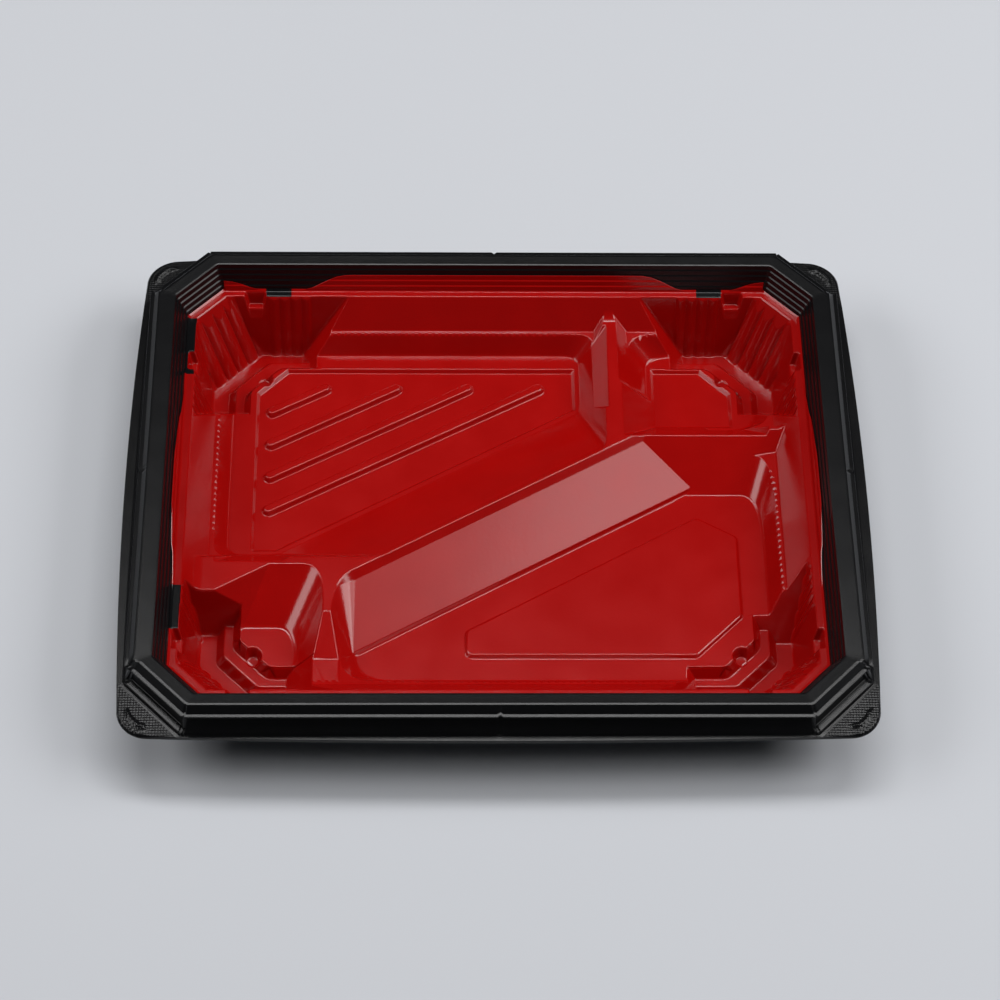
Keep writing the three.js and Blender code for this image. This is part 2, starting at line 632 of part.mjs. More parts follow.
// Solid under the food-side face, a depth below it: the form that the sheet is drawn over
function mould(depth, overcut) {
  const below = -HEIGHT - overcut;
  const top = HEIGHT + FACE - depth;
  const lipTop = HEIGHT + FACE - LIP_DROP - depth;
  const hem = skirtRing(SKIRT_RUN, 1, lipTop, depth);
  const skirt = loft([
    { ...hem, level: below },
    hem,
    skirtRing(BEAD_RUN, BEAD_DROP / LIP_DROP, top - BEAD_DROP, depth),
    skirtRing(0, 0, top, depth),
  ]);
  const lipPoints = lipOutline(overcut);
  const lip = loft([{ points: lipPoints, level: below }, { points: lipPoints, level: lipTop }]);
  return skirt.add(lip).subtract(hollow(depth));
}

// One ply of the formed sheet
function ply(depth, thickness) {
  return mould(depth, 0).subtract(mould(depth + thickness, SHEET));
}

// Everything below an arched line, extruded across the tray
function printArch({ rise, flat, foot, halfLength, halfAcross, turn }) {
  const base = LEDGE_LEVEL + PRINT_ABOVE_LEDGE;
  const shape = new THREE.Shape();
  const ramp = (side) => Array.from({ length: PRINT_STEPS + 1 }, (_, step) => {
    const along = step / PRINT_STEPS;
    const height = rise * (0.5 - 0.5 * Math.cos(Math.PI * along));
    return new THREE.Vector2(side * (foot + (flat - foot) * along), base + height);
  });
  shape.moveTo(-halfLength, -HEIGHT);
  shape.lineTo(halfLength, -HEIGHT);
  shape.lineTo(halfLength, base);
  ramp(1).forEach(({ x, y }) => shape.lineTo(x, y));
  ramp(-1).reverse().forEach(({ x, y }) => shape.lineTo(x, y));
  shape.lineTo(-halfLength, base);
  const bar = new THREE.ExtrudeGeometry(shape, { depth: 2 * halfAcross, bevelEnabled: false });
  bar.translate(0, 0, -halfAcross).rotateX(Math.PI / 2).rotateZ(turn);
  bar.deleteAttribute("normal");
  bar.deleteAttribute("uv");
  return toSolid(mergeVertices(bar));
}

// Where the sheet is printed: the wells, the ledge and an arch on each side of the throat
function printedSpace() {
  const outline = outlineAt(octagonWalls(-RIM_LAND / 2, 0, 0), 0, 0);
  const inside = loft([{ points: outline, level: -HEIGHT }, { points: outline, level: HEIGHT + FACE }]);
  const sides = printArch({
    rise: PRINT_RISE_SIDES,
    flat: PRINT_FLAT_SHARE_SIDES * HALF_LENGTH,
    foot: PRINT_FOOT_SHARE_SIDES * HALF_LENGTH,
    halfLength: LENGTH / 2,
    halfAcross: WIDTH / 2,
    turn: 0,
  });
  const ends = printArch({
    rise: PRINT_RISE_ENDS,
    flat: PRINT_FLAT_SHARE_ENDS * HALF_WIDTH,
    foot: PRINT_FOOT_SHARE_ENDS * HALF_WIDTH,
    halfLength: WIDTH / 2,
    halfAcross: LENGTH / 2,
    turn: Math.PI / 2,
  });
  return sides.add(ends).intersect(inside);
}

const tray = new THREE.Group();
tray.add(toMesh(ply(FACE, SHEET), "tray_shell", BLACK_SHEET));
tray.add(toMesh(ply(0, FILM).intersect(printedSpace()), "red_film", RED_FILM));

export default tray;
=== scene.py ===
"""Four-well lunch tray: the formed black sheet and the red printed film that lines it, on a plain stage.

Shapes are worked out in millimetres, with +X to the diner's right, +Y away from the diner and +Z up, and go
into the meshes in metres.
"""
import math
from functools import reduce
from typing import NamedTuple

import bpy
import numpy as np
from mathutils import Matrix, Vector


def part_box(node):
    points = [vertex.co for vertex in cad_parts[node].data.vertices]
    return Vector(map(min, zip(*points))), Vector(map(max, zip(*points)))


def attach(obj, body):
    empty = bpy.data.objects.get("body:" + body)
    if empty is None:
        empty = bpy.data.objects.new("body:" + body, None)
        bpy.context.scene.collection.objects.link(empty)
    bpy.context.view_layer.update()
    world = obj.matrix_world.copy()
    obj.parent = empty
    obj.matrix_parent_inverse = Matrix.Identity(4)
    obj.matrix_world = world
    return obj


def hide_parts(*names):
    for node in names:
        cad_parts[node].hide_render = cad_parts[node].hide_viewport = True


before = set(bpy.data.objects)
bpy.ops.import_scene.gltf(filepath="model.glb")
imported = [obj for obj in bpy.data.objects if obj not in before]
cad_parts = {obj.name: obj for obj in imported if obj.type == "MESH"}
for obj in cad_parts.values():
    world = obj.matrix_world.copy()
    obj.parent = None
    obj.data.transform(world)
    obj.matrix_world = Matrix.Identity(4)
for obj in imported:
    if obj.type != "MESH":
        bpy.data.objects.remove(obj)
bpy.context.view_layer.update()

bl_info = {
    "name": "Lunch Tray",
    "version": (1, 0, 0),
    "blender": (4, 5, 0),
    "location": "3D View > Sidebar > Lunch Tray",
    "description": "Makes the formed sheet and the printed film of a four-well lunch tray, and its stage",
    "category": "Add Mesh",
}

MM = 0.001
SHEET_NODE = "tray_shell"
FILM_NODE = "red_film"
SHELL_LOW, SHELL_HIGH = (np.array(corner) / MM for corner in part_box(SHEET_NODE))

# Plies, from the food side down
FILM = 0.15
FACE = 0.25
SHEET = 0.55
UNDERSIDE = FACE + SHEET
HIDDEN_FACE = 0.6

# Rim: a flat land round an eight-sided opening
LENGTH, WIDTH, HEIGHT = SHELL_HIGH - SHELL_LOW
BORDER_ENDS = 14
BORDER_SIDES = 11.6
OPENING_CHAMFER = 13.2
RIM_LAND = 5
RIM_DISH = 0.2
RIM_BEVEL_RUN = 0.5
RIM_BEVEL_DROP = 0.1
RIM_EDGE_RADIUS = 0.3
RIM_CORNER_RADIUS = 2

# Skirt, lip and corner tabs
LIP_DROP = 10.9
LIP_CORNER_RADIUS = 10
LIP_BULGE_ENDS = 2.6
LIP_BULGE_SIDES = 1.6

# Throat: a stepped wall from the rim down to the ledge that seats a lid
THROAT_RUN = 4.25
RIDGE_COUNT = 5
RIDGE_TREAD = 0.4
RIDGE_RADIUS = 0.13
RIDGE_STEPS = 3
TREAD_DROP = 0.3
LEDGE_RUN = 2.15
LEDGE_FILLET = 0.5

# Heights of the food-side face
LEDGE_LEVEL = 24.8
LAND_LEVEL = 19
SHELF_LEVEL = 15.2
FLOOR_LEVEL = 8.2
STEP_LEVEL = 4.4
FOOT_LEVEL = UNDERSIDE

# Side walls of the wells. A lean is the sideways run of a wall for each millimetre of its height.
BAND_LEAN = 0.77
SHELF_RUN = 1.5
SHELF_RISE = 0.4
SHELF_LEAN = 12
SHELF_EDGE_RADIUS = 0.2
WALL_LEAN = 0.58
TOOTH_DROP = 0.25
TOOTH_LEAN = 1.4
TOOTH_FADE = 3
LAND_FILLET = 5
SHARPEST_EDGE = 0.05

# Radii where two walls of a well meet
MAIN_CORNER = 6.5
FAR_CORNER = 10
NEAR_CORNER = 13
CREASE = 1.5

# Fillets round the other floors, for each millimetre of the main floor's
FAR_FILLET = 2
FRONT_FILLET = 1.5
CORNER_FILLET = 3

# Main well. An inset is measured from the edge of the opening.
CREST_START_X_INSET = 69.2
CREST_START_Y_INSET = 59.3
CREST_END_INSET = 65.3
MAIN_SLOPE_LEAN = 2.18
MAIN_NEAR_WIDTH = 16.3
MAIN_NEAR_LEAN = 0.7
PANEL_SINK = 1.1
PANEL_MARGIN_SIDES = 6.8
PANEL_MARGIN_ENDS = 8.6
PANEL_MARGIN_CORNERS = 3.2
PANEL_GAP = 1.5
PANEL_EDGE_LEAN = 1
PANEL_EDGE_RADIUS = 0.35
RIB_COUNT = 4
RIB_TURN = 29
RIB_PITCH = 11.7
RIB_START_INSET = 32
RIB_END_INSET = 32.7
RIB_FIRST_INSET = 42.4
RIB_WIDTH = 2.6
RIB_HEIGHT = 1.5
RIB_LEAN = 0.6
RAISED_FILLET = 0.5

# Front well
CREST_STEP_DROP = 2
CREST_STEP_LEAN = 1.25
RAMP_LEAN = 2.58
RAMP_FOOT = 1.2
RAMP_FOOT_LEAN = 0.5
RAMP_CORNER = 20
FRONT_FAR_LEAN = 1.78
RAISED_PANEL = 1
RAISED_PANEL_LEAN = 0.6
RAISED_PANEL_MARGIN = 9.2
RAISED_PANEL_RADIUS = 3
RAISED_PANEL_RAMP_GAP = 10.4
RAISED_PANEL_LEFT_GAP = 44.65
RAISED_PANEL_BACK_GAP = 17.3

# Dividers between the wells, at the land
DIVIDER_INSET = 67.7
DIVIDER_TOP = 4.6
DIVIDER_MAIN_LEAN = 0.74
DIVIDER_FAR_LEAN = 0.95
FAR_NEAR_INSET = 56.9
FAR_NEAR_TOP = 1.4
FAR_NEAR_LEAN = 0.5
FAR_CUT_TURN = 60
FAR_CUT_INSET = 35.8
CORNER_FAR_INSET = 56.6
CORNER_FAR_LEAN = 1.59
CORNER_CUT_TURN = 30
CORNER_CUT_INSET = 33.7
CORNER_CUT_LEAN = 1
CORNER_DIVIDER_INSET = 52.55
CORNER_DIVIDER_TOP = 2.5
CORNER_DIVIDER_CORNER_LEAN = 0.8
CORNER_DIVIDER_FRONT_LEAN = 0.71
FACET_INSET = 38.7
FACET_LEAN = 4.1

# Hollow feet
FOOT_END_X_INSET = 57.7
FOOT_END_X_LEAN = 0.675
FOOT_END_Y_INSET = 56.4
FOOT_END_Y_LEAN = 0.77
CORNER_FOOT_END_INSET = 48.3
CORNER_FOOT_END_LEAN = 0.3
FOOT_END_WALL_LEAN = 0.2
FOOT_SIDE_WALL_LEAN = 0.27
FOOT_CHAMFER_LEAN = 0.49
FOOT_CORNER = 2
POCKET_FILLET = 0.6
FLOOR_EDGE_INSET = 24.2
FLOOR_EDGE_CHAMFER_INSET = 32
FLOOR_EDGE_LEAN = 0.53
STEP_EDGE_INSET = 19.2
STEP_EDGE_CHAMFER_INSET = 25.9
STEP_EDGE_LEAN = 0.68
ISLAND_CORNER = 4.5
OVER_LEAN = 0.1
RECESS_INSET = 28.7
RECESS_RADIUS = 3
RECESS_LEAN = 0.3

# Flutes round a foot: where they lie along the walls, from the middle of each side, and how blunt they are
FLUTE_MIDDLE = 17.5
FLUTE_BLUNT = 0.004
SIDE_FLUTES = (62, 77.5)
END_FLUTES = (28, 46.5)
SCALLOP_BLUNT = 0.02

# Stacking notches in the ledge
NOTCH_WIDTH = 7
NOTCH_DROP = 5
NOTCH_LEAN = 0.2
NOTCH_X_INSET = 25.8
NOTCH_FAR_INSET = 33.6
NOTCH_NEAR_INSET = 25
NOTCH_REACH_IN = 3

# Upper edge of the print on the throat, above the ledge
PRINT_RISE_SIDES = 5.4
PRINT_RISE_ENDS = 3.7
PRINT_FLAT_SIDES = 50
PRINT_FOOT_SIDES = 68
PRINT_FLAT_ENDS = 8
PRINT_FOOT_ENDS = 46
PRINT_ABOVE_LEDGE = 0.2
PRINT_SPARE = 1
PRINT_CLIMB = 3.3
PRINT_CLIMB_FROM = 79

PANEL_LEVEL = FLOOR_LEVEL - PANEL_SINK
HALF_LENGTH = LENGTH / 2 - BORDER_ENDS
HALF_WIDTH = WIDTH / 2 - BORDER_SIDES
HALF_DIAGONAL = (HALF_LENGTH + HALF_WIDTH - OPENING_CHAMFER) * math.sqrt(0.5)
LEDGE_INSET = THROAT_RUN + LEDGE_RUN
SHELF_INSET = LEDGE_INSET + BAND_LEAN * (LEDGE_LEVEL - SHELF_LEVEL - SHELF_RISE) + SHELF_RUN
FLOOR_INSET = SHELF_INSET + WALL_LEAN * (SHELF_LEVEL - FLOOR_LEVEL)
DIVIDER_X = HALF_LENGTH - DIVIDER_INSET
CORNER_DIVIDER_X = CORNER_DIVIDER_INSET - HALF_LENGTH
FAR_NEAR_Y = HALF_WIDTH - FAR_NEAR_INSET
CORNER_FAR_Y = CORNER_FAR_INSET - HALF_WIDTH
RIM_TOP = HEIGHT + FACE - RIM_DISH
THROAT_STEP = (RIM_TOP - LEDGE_LEVEL) / RIDGE_COUNT

# Bearings in degrees from +X
RIGHT, FAR_RIGHT, FAR, FAR_LEFT, LEFT, NEAR_LEFT, NEAR, NEAR_RIGHT = range(0, 360, 45)
EIGHTHS = (RIGHT, FAR_RIGHT, FAR, FAR_LEFT, LEFT, NEAR_LEFT, NEAR, NEAR_RIGHT)

# The grid that the wells are worked out on ends inside the throat's wall
GRID_INSET = 3.5
GRID_CORNER_INSET = 3.67
FILM_TRIANGLES = 75000
SHEET_TRIANGLES = 40000

# Small steps and the least values that are divided by or kept
RIPPLE_STEP = 0.01
NORMAL_INSET = 0.15
TINY = 1e-6
LEAST_LENGTH = 1e-12
LEAST_AREA = 1e-7


class TraySizes(bpy.types.PropertyGroup):
    """Roundings and surface forms of the tray"""

    pitch: bpy.props.FloatProperty(
        name="Grid pitch", description="Spacing of the grid that the wells are worked out on",
        default=0.0003, unit="LENGTH", subtype="DISTANCE")
    edge: bpy.props.FloatProperty(
        name="Edge rounding", description="Radius of the raised edges in the wells",
        default=0.0008, unit="LENGTH", subtype="DISTANCE")
    fillet: bpy.props.FloatProperty(
        name="Floor fillet", description="Radius where walls meet a floor",
        default=0.001, unit="LENGTH", subtype="DISTANCE")
    flute_pitch: bpy.props.FloatProperty(
        name="Flute pitch", description="Spacing of the flutes across the corner of a foot",
        default=0.0049, unit="LENGTH", subtype="DISTANCE")
    flute_depth: bpy.props.FloatProperty(
        name="Flute depth", description="Depth of the grooves between the flutes",
        default=0.0012, unit="LENGTH", subtype="DISTANCE")
    scallop_pitch: bpy.props.FloatProperty(
        name="Scallop pitch", description="Spacing of the faint flutes on the sides of a foot",
        default=0.0037, unit="LENGTH", subtype="DISTANCE")
    scallop_depth: bpy.props.FloatProperty(
        name="Scallop depth", description="Depth of the faint flutes on the sides of a foot",
        default=0.0005, unit="LENGTH", subtype="DISTANCE")
    tooth_pitch: bpy.props.FloatProperty(
        name="Tooth pitch", description="Spacing of the fine teeth along the shelf",
        default=0.0023, unit="LENGTH", subtype="DISTANCE")
    tooth_depth: bpy.props.FloatProperty(
        name="Tooth depth", description="Depth of the fine teeth along the shelf",
        default=0.0004, unit="LENGTH", subtype="DISTANCE")


class TrayFinish(bpy.types.PropertyGroup):
    """Colours and gloss of the tray"""

    film: bpy.props.FloatVectorProperty(
        name="Film", description="Colour of the printed film", size=3, subtype="COLOR",
        default=(0.35, 0.002, 0.0015), min=0, max=1)
    sheet: bpy.props.FloatVectorProperty(
        name="Sheet", description="Colour of the formed sheet", size=3, subtype="COLOR",
        default=(0.004, 0.004, 0.0045), min=0, max=1)
    floor: bpy.props.FloatVectorProperty(
        name="Stage floor", description="Colour of the floor under the tray", size=3, subtype="COLOR",
        default=(0.59, 0.605, 0.64), min=0, max=1)


class Relief(NamedTuple):
    """A height over plan points, with its slopes along X and Y."""

    z: np.ndarray
    gx: np.ndarray
    gy: np.ndarray


def rounded(first, second, radius, sign):
    """The higher of two reliefs (sign 1) or the lower (sign -1), with the crease between them rounded.

    Within a gap k of the crease the height leaves the outer relief by (k - gap)^2 / 4k, a parabola that is
    as wide as an arc of the radius, square to the crease, between the two slopes.
    """
    dx = first.gx - second.gx
    dy = first.gy - second.gy
    steep = np.hypot(dx, dy) + TINY
    slope_a = (first.gx * dx + first.gy * dy) / steep
    slope_b = (second.gx * dx + second.gy * dy) / steep
    lie_a = slope_a / np.sqrt(1 + first.gx ** 2 + first.gy ** 2)
    lie_b = slope_b / np.sqrt(1 + second.gx ** 2 + second.gy ** 2)
    reach = 0.5 * radius * steep * np.abs(lie_a - lie_b) + TINY
    gap = sign * (first.z - second.z)
    share = np.clip(0.5 + gap / (2 * reach), 0, 1)
    ease = np.maximum(reach - np.abs(gap), 0) ** 2 / (4 * reach)
    z = np.where(gap > 0, first.z, second.z) + sign * ease
    gx = share * first.gx + (1 - share) * second.gx
    gy = share * first.gy + (1 - share) * second.gy
    return Relief(z, gx, gy)


def pillows(pitch, depth, middle):
    """Flutes that bulge between narrow grooves: depth times |sin(pi u / pitch)|^(1/2), blunted.

    u runs along a wall, from the groove in the middle.
    """
    def shift(along):
        swell = np.sin(np.pi * (np.abs(along) - middle) / pitch)
        return -depth * (swell * swell + FLUTE_BLUNT) ** 0.25
    return shift


def scallops(pitch, depth, span):
    """Faint flutes between two places along a wall: depth times |sin(pi u / pitch)|, blunted."""
    start, stop = span

    def shift(along):
        u = np.abs(along)
        inside = np.clip(np.minimum(u - start, stop - u), 0, 1)
        swell = np.sin(np.pi * (u - start) / pitch)
        return -depth * inside * np.sqrt(swell * swell + SCALLOP_BLUNT)
    return shift


def teeth(pitch, depth):
    """Fine teeth: half the depth times cos(2 pi u / pitch), along a wall."""
    def shift(along):
        return 0.5 * depth * np.cos(2 * np.pi * along / pitch)
    return shift


class Face:
    """One face of the formed sheet over plan points, a depth below the food side."""

    def __init__(self, x, y, depth, sizes):
        self.x = x
        self.y = y
        self.depth = depth
        self.edge = sizes.edge / MM
        self.fillet = sizes.fillet / MM
        self.flutes = pillows(sizes.flute_pitch / MM, sizes.flute_depth / MM, FLUTE_MIDDLE)
        self.side_flutes = scallops(sizes.scallop_pitch / MM, sizes.scallop_depth / MM, SIDE_FLUTES)
        self.end_flutes = scallops(sizes.scallop_pitch / MM, sizes.scallop_depth / MM, END_FLUTES)
        self.teeth = teeth(sizes.tooth_pitch / MM, sizes.tooth_depth / MM)

    def flat(self, level):
        """An even height."""
        zero = np.zeros_like(self.x)
        return Relief(zero + level - self.depth, zero, zero)

    def plane(self, bearing, reach, level, lean, ripple=None):
        """A wall: at a level where the distance along its bearing is its reach, and rising by 1 / lean.

        A ripple moves the reach along the wall. The face lies a depth below, square to the wall.
        """
        nx = math.cos(math.radians(bearing))
        ny = math.sin(math.radians(bearing))
        shift = 0
        drift = 0
        if ripple is not None:
            along = self.y * nx - self.x * ny
            shift = ripple(along)
            drift = (ripple(along + RIPPLE_STEP) - ripple(along - RIPPLE_STEP)) / (2 * RIPPLE_STEP)
        gx = (nx + ny * drift) / lean + np.zeros_like(self.x)
        gy = (ny - nx * drift) / lean + np.zeros_like(self.x)
        z = level + (self.x * nx + self.y * ny - reach - shift) / lean
        return Relief(z - self.depth * np.sqrt(1 + gx * gx + gy * gy), gx, gy)

    def side(self, bearing, inset, level, lean, ripple=None):
        """A wall along a side of the opening."""
        return self.plane(bearing, opening_reach(bearing) - inset, level, lean, ripple)

    def spread(self, distance, away, reach, level, lean):
        """A wall round a point or a line: at a level where the distance is its reach, rising by 1 / lean."""
        gx = away[0] / lean
        gy = away[1] / lean
        z = level + (distance - reach) / lean
        return Relief(z - self.depth * math.hypot(1, 1 / lean), gx, gy)

    def valley(self, radius, *reliefs):
        """The highest of some reliefs, with hollow creases of a radius on the food side."""
        return reduce(lambda a, b: rounded(a, b, radius + self.depth, 1), reliefs)

    def ridge(self, radius, *reliefs):
        """The lowest of some reliefs, with raised edges of a radius on the food side."""
        round_edge = max(radius - self.depth, SHARPEST_EDGE)
        return reduce(lambda a, b: rounded(a, b, round_edge, -1), reliefs)


def is_chamfer(bearing):
    return bearing % FAR != 0


def is_end(bearing):
    return bearing % LEFT == 0


def opening_reach(bearing):
    """How far the edge of the opening lies from the centre, along a bearing in eighths of a turn."""
    if is_chamfer(bearing):
        return HALF_DIAGONAL
    return HALF_LENGTH if is_end(bearing) else HALF_WIDTH


def reach_through(bearing, x, y):
    """Reach of a plane that faces along a bearing and runs through a plan point."""
    return x * math.cos(math.radians(bearing)) + y * math.sin(math.radians(bearing))


CREST_START = (CREST_START_X_INSET - HALF_LENGTH, CREST_START_Y_INSET - HALF_WIDTH)
CREST_END = (DIVIDER_X - DIVIDER_TOP / 2, HALF_WIDTH - CREST_END_INSET)
CREST_TURN = math.degrees(math.atan2(CREST_END[1] - CREST_START[1], CREST_END[0] - CREST_START[0]))
CREST_REACH = reach_through(NEAR + CREST_TURN, *CREST_START)


def steep_side(face, bearing):
    """Steep lower part of a well's side wall, from the floor up to the shelf."""
    return face.side(bearing, SHELF_INSET, SHELF_LEVEL, WALL_LEAN)


def band_side(face, bearing):
    """Top part of a well's side wall, from the shelf up to the ledge."""
    return face.side(bearing, LEDGE_INSET, LEDGE_LEVEL, BAND_LEAN)


def toothed_side(face, bearing):
    """Bevel with fine teeth along the edge of the shelf, then the band."""
    bevel = face.side(bearing, SHELF_INSET, SHELF_LEVEL - TOOTH_DROP, TOOTH_LEAN, face.teeth)
    return face.valley(face.fillet, bevel, band_side(face, bearing))


def shelf_side(face, bearing):
    """Upper part of a well's side wall: a narrow shelf, then the band."""
    shelf = face.side(bearing, SHELF_INSET, SHELF_LEVEL, SHELF_LEAN)
    return face.valley(face.fillet, shelf, band_side(face, bearing))


def well_walls(face, plain, bearings, corner):
    """Plain walls of a well and its side walls along the tray, in round corners that the shelf stops.

    The teeth fade out at a corner, where their bevel is more rounded than the wall below it.
    """
    inner = face.valley(corner, *plain)
    parts = []
    sides = ((steep_side, corner), (toothed_side, TOOTH_FADE * corner), (shelf_side, face.fillet))
    for side, radius in sides:
        around = [side(face, bearing) for bearing in bearings]
        parts.append(face.valley(radius, inner, *around))
    return face.ridge(SHELF_EDGE_RADIUS, *parts)


def on_floor(face, walls, fillet):
    """Walls of a well with its floor, and a fillet round it."""
    return face.valley(fillet, face.flat(FLOOR_LEVEL), walls)


def panel_edge(face, bearing):
    """Edge of a sunken panel along a side of the tray, or across its corner."""
    inset = FLOOR_EDGE_CHAMFER_INSET + PANEL_MARGIN_CORNERS
    if not is_chamfer(bearing):
        inset = FLOOR_INSET + (PANEL_MARGIN_ENDS if is_end(bearing) else PANEL_MARGIN_SIDES)
    return face.side(bearing, inset, PANEL_LEVEL, PANEL_EDGE_LEAN)


def panel_foot(face, bearing, wall_foot):
    """Edge of a sunken panel along the foot of a wall to a neighbouring well."""
    return face.plane(bearing, wall_foot - PANEL_GAP, FLOOR_LEVEL, PANEL_EDGE_LEAN)


def sunken_panel(face, edges):
    """Flat bottom of a sunken panel inside its edges."""
    return face.valley(PANEL_EDGE_RADIUS, face.flat(PANEL_LEVEL), face.valley(face.fillet, *edges))


def foot_reach(reach, lean):
    """Reach at the floor of a wall that is given at the land."""
    return reach - lean * (LAND_LEVEL - FLOOR_LEVEL)


def main_well(face):
    """Main well: sides to the far and left, the divider on its right, the crest's long slope in front."""
    outer = (FAR, FAR_LEFT, LEFT)
    crest = NEAR + CREST_TURN
    right_reach = DIVIDER_X - DIVIDER_TOP / 2
    right_foot = foot_reach(right_reach, DIVIDER_MAIN_LEAN)
    slope_foot = foot_reach(CREST_REACH, MAIN_SLOPE_LEAN)
    near_x = FLOOR_INSET + MAIN_NEAR_WIDTH - HALF_LENGTH
    turn = math.radians(CREST_TURN)
    near_foot = (slope_foot - near_x * math.sin(turn)) / math.cos(turn)
    right = face.plane(RIGHT, right_reach, LAND_LEVEL, DIVIDER_MAIN_LEAN)
    near = face.plane(NEAR, near_foot, FLOOR_LEVEL, MAIN_NEAR_LEAN)
    slope = face.plane(crest, CREST_REACH, LAND_LEVEL, MAIN_SLOPE_LEAN)
    edges = [panel_foot(face, RIGHT, right_foot)]
    edges += [panel_edge(face, bearing) for bearing in outer]
    edges += [panel_foot(face, NEAR, near_foot), panel_foot(face, crest, slope_foot)]
    well = on_floor(face, well_walls(face, [right, near, slope], outer, MAIN_CORNER), face.fillet)
    return face.ridge(PANEL_EDGE_RADIUS, well, sunken_panel(face, edges))


def far_well(face):
    """Far well: square behind its divider, and widening towards the right-hand end."""
    outer = (RIGHT, FAR_RIGHT, FAR)
    cut_bearing = LEFT + FAR_CUT_TURN
    near_y = FAR_NEAR_Y + FAR_NEAR_TOP / 2
    left_reach = -(DIVIDER_X + DIVIDER_TOP / 2)
    cut_reach = reach_through(cut_bearing, HALF_LENGTH - FAR_CUT_INSET, near_y)
    left = face.plane(LEFT, left_reach, LAND_LEVEL, DIVIDER_FAR_LEAN)
    near = face.plane(NEAR, -near_y, LAND_LEVEL, FAR_NEAR_LEAN)
    cut = face.plane(cut_bearing, cut_reach, LAND_LEVEL, FAR_NEAR_LEAN)
    edges = [panel_edge(face, bearing) for bearing in outer]
    edges.append(panel_foot(face, LEFT, foot_reach(left_reach, DIVIDER_FAR_LEAN)))
    edges.append(panel_foot(face, NEAR, foot_reach(-near_y, FAR_NEAR_LEAN)))
    front = face.valley(CREASE, near, cut)
    well = on_floor(face, well_walls(face, [left, front], outer, FAR_CORNER), FAR_FILLET * face.fillet)
    return face.ridge(PANEL_EDGE_RADIUS, well, sunken_panel(face, edges))


RAMP_TOP = LAND_LEVEL - CREST_STEP_DROP
RAMP_BOTTOM = FLOOR_LEVEL + RAMP_FOOT
RAMP_TOP_REACH = -CREST_REACH - CREST_STEP_LEAN * CREST_STEP_DROP
RAMP_BOTTOM_REACH = RAMP_TOP_REACH - RAMP_LEAN * (RAMP_TOP - RAMP_BOTTOM)


def ramp(face, left):
    """The crest's planes down to the front floor, a step, the long ramp and a low step, and the left wall.

    The corner between the ramp and the left wall is a cone that narrows to the ramp's foot.
    """
    bearing = FAR + CREST_TURN
    head = face.plane(bearing, -CREST_REACH, LAND_LEVEL, CREST_STEP_LEAN)
    slope = face.plane(bearing, RAMP_TOP_REACH, RAMP_TOP, RAMP_LEAN)
    foot = face.plane(bearing, RAMP_BOTTOM_REACH, RAMP_BOTTOM, RAMP_FOOT_LEAN)
    height = (slope.z + face.depth - RAMP_BOTTOM) / (RAMP_TOP - RAMP_BOTTOM)
    corner = face.fillet + RAMP_CORNER * np.clip(height, 0, 1)
    upper = face.valley(corner, face.valley(face.fillet, slope, head), left)
    return face.ridge(face.edge, face.valley(face.fillet, foot, left), upper)


def front_well(face):
    """Front well: sides to the near and right, the ramp behind it, the corner divider on its left."""
    back = face.plane(FAR, FAR_NEAR_Y - FAR_NEAR_TOP / 2, LAND_LEVEL, FRONT_FAR_LEAN)
    left_reach = -(CORNER_DIVIDER_X + CORNER_DIVIDER_TOP / 2)
    left = face.plane(LEFT, left_reach, LAND_LEVEL, CORNER_DIVIDER_FRONT_LEAN)
    outer = well_walls(face, [back, left], (RIGHT, NEAR, NEAR_RIGHT), NEAR_CORNER)
    return on_floor(face, face.valley(CREASE, outer, ramp(face, left)), FRONT_FILLET * face.fillet)


def corner_divider(face):
    """Right-hand wall of the corner well."""
    reach = CORNER_DIVIDER_X - CORNER_DIVIDER_TOP / 2
    return face.plane(RIGHT, reach, LAND_LEVEL, CORNER_DIVIDER_CORNER_LEAN)


def corner_well(face):
    """Corner well at the near left, with its far left corner cut off."""
    cut_bearing = FAR + CORNER_CUT_TURN
    cut_reach = reach_through(cut_bearing, CORNER_CUT_INSET - HALF_LENGTH, CORNER_FAR_Y)
    back = face.plane(FAR, CORNER_FAR_Y, LAND_LEVEL, CORNER_FAR_LEAN)
    cut = face.plane(cut_bearing, cut_reach, LAND_LEVEL, CORNER_CUT_LEAN)
    behind = face.valley(CREASE, back, cut)
    walls = well_walls(face, [behind, corner_divider(face)], (LEFT, NEAR_LEFT, NEAR), NEAR_CORNER)
    return on_floor(face, walls, CORNER_FILLET * face.fillet)


def divider_facet(face):
    """Gentle facet that lowers the corner well's divider towards the near side, down to the shelf."""
    fall = face.plane(FAR, FACET_INSET - HALF_WIDTH, LAND_LEVEL, FACET_LEAN)
    walls = well_walls(face, [fall], (RIGHT, LEFT, NEAR_LEFT, NEAR, NEAR_RIGHT), face.fillet)
    return face.valley(face.fillet, face.flat(SHELF_LEVEL), walls)


def bowl(face):
    """Sloping band below the ledge, all round, down to the land between the wells."""
    bands = [band_side(face, bearing) for bearing in EIGHTHS]
    return face.valley(LAND_FILLET, face.flat(LAND_LEVEL), face.valley(face.fillet, *bands))


def ledge(face):
    """Flat ledge that seats a lid, with the lowest tread of the throat rising from its outer edge."""
    slope = RIDGE_TREAD / TREAD_DROP
    treads = [face.side(bearing, THROAT_RUN, LEDGE_LEVEL, slope) for bearing in EIGHTHS]
    return face.valley(LEDGE_FILLET, face.flat(LEDGE_LEVEL), *treads)


def foot_falls(face, bearings, inset, chamfer_inset, level, lean):
    """Planes that fall away from the edges of a raised floor, along three sides of the tray."""
    insets = [chamfer_inset if is_chamfer(bearing) else inset for bearing in bearings]
    return [face.side(bearing, edge, level, lean) for bearing, edge in zip(bearings, insets)]


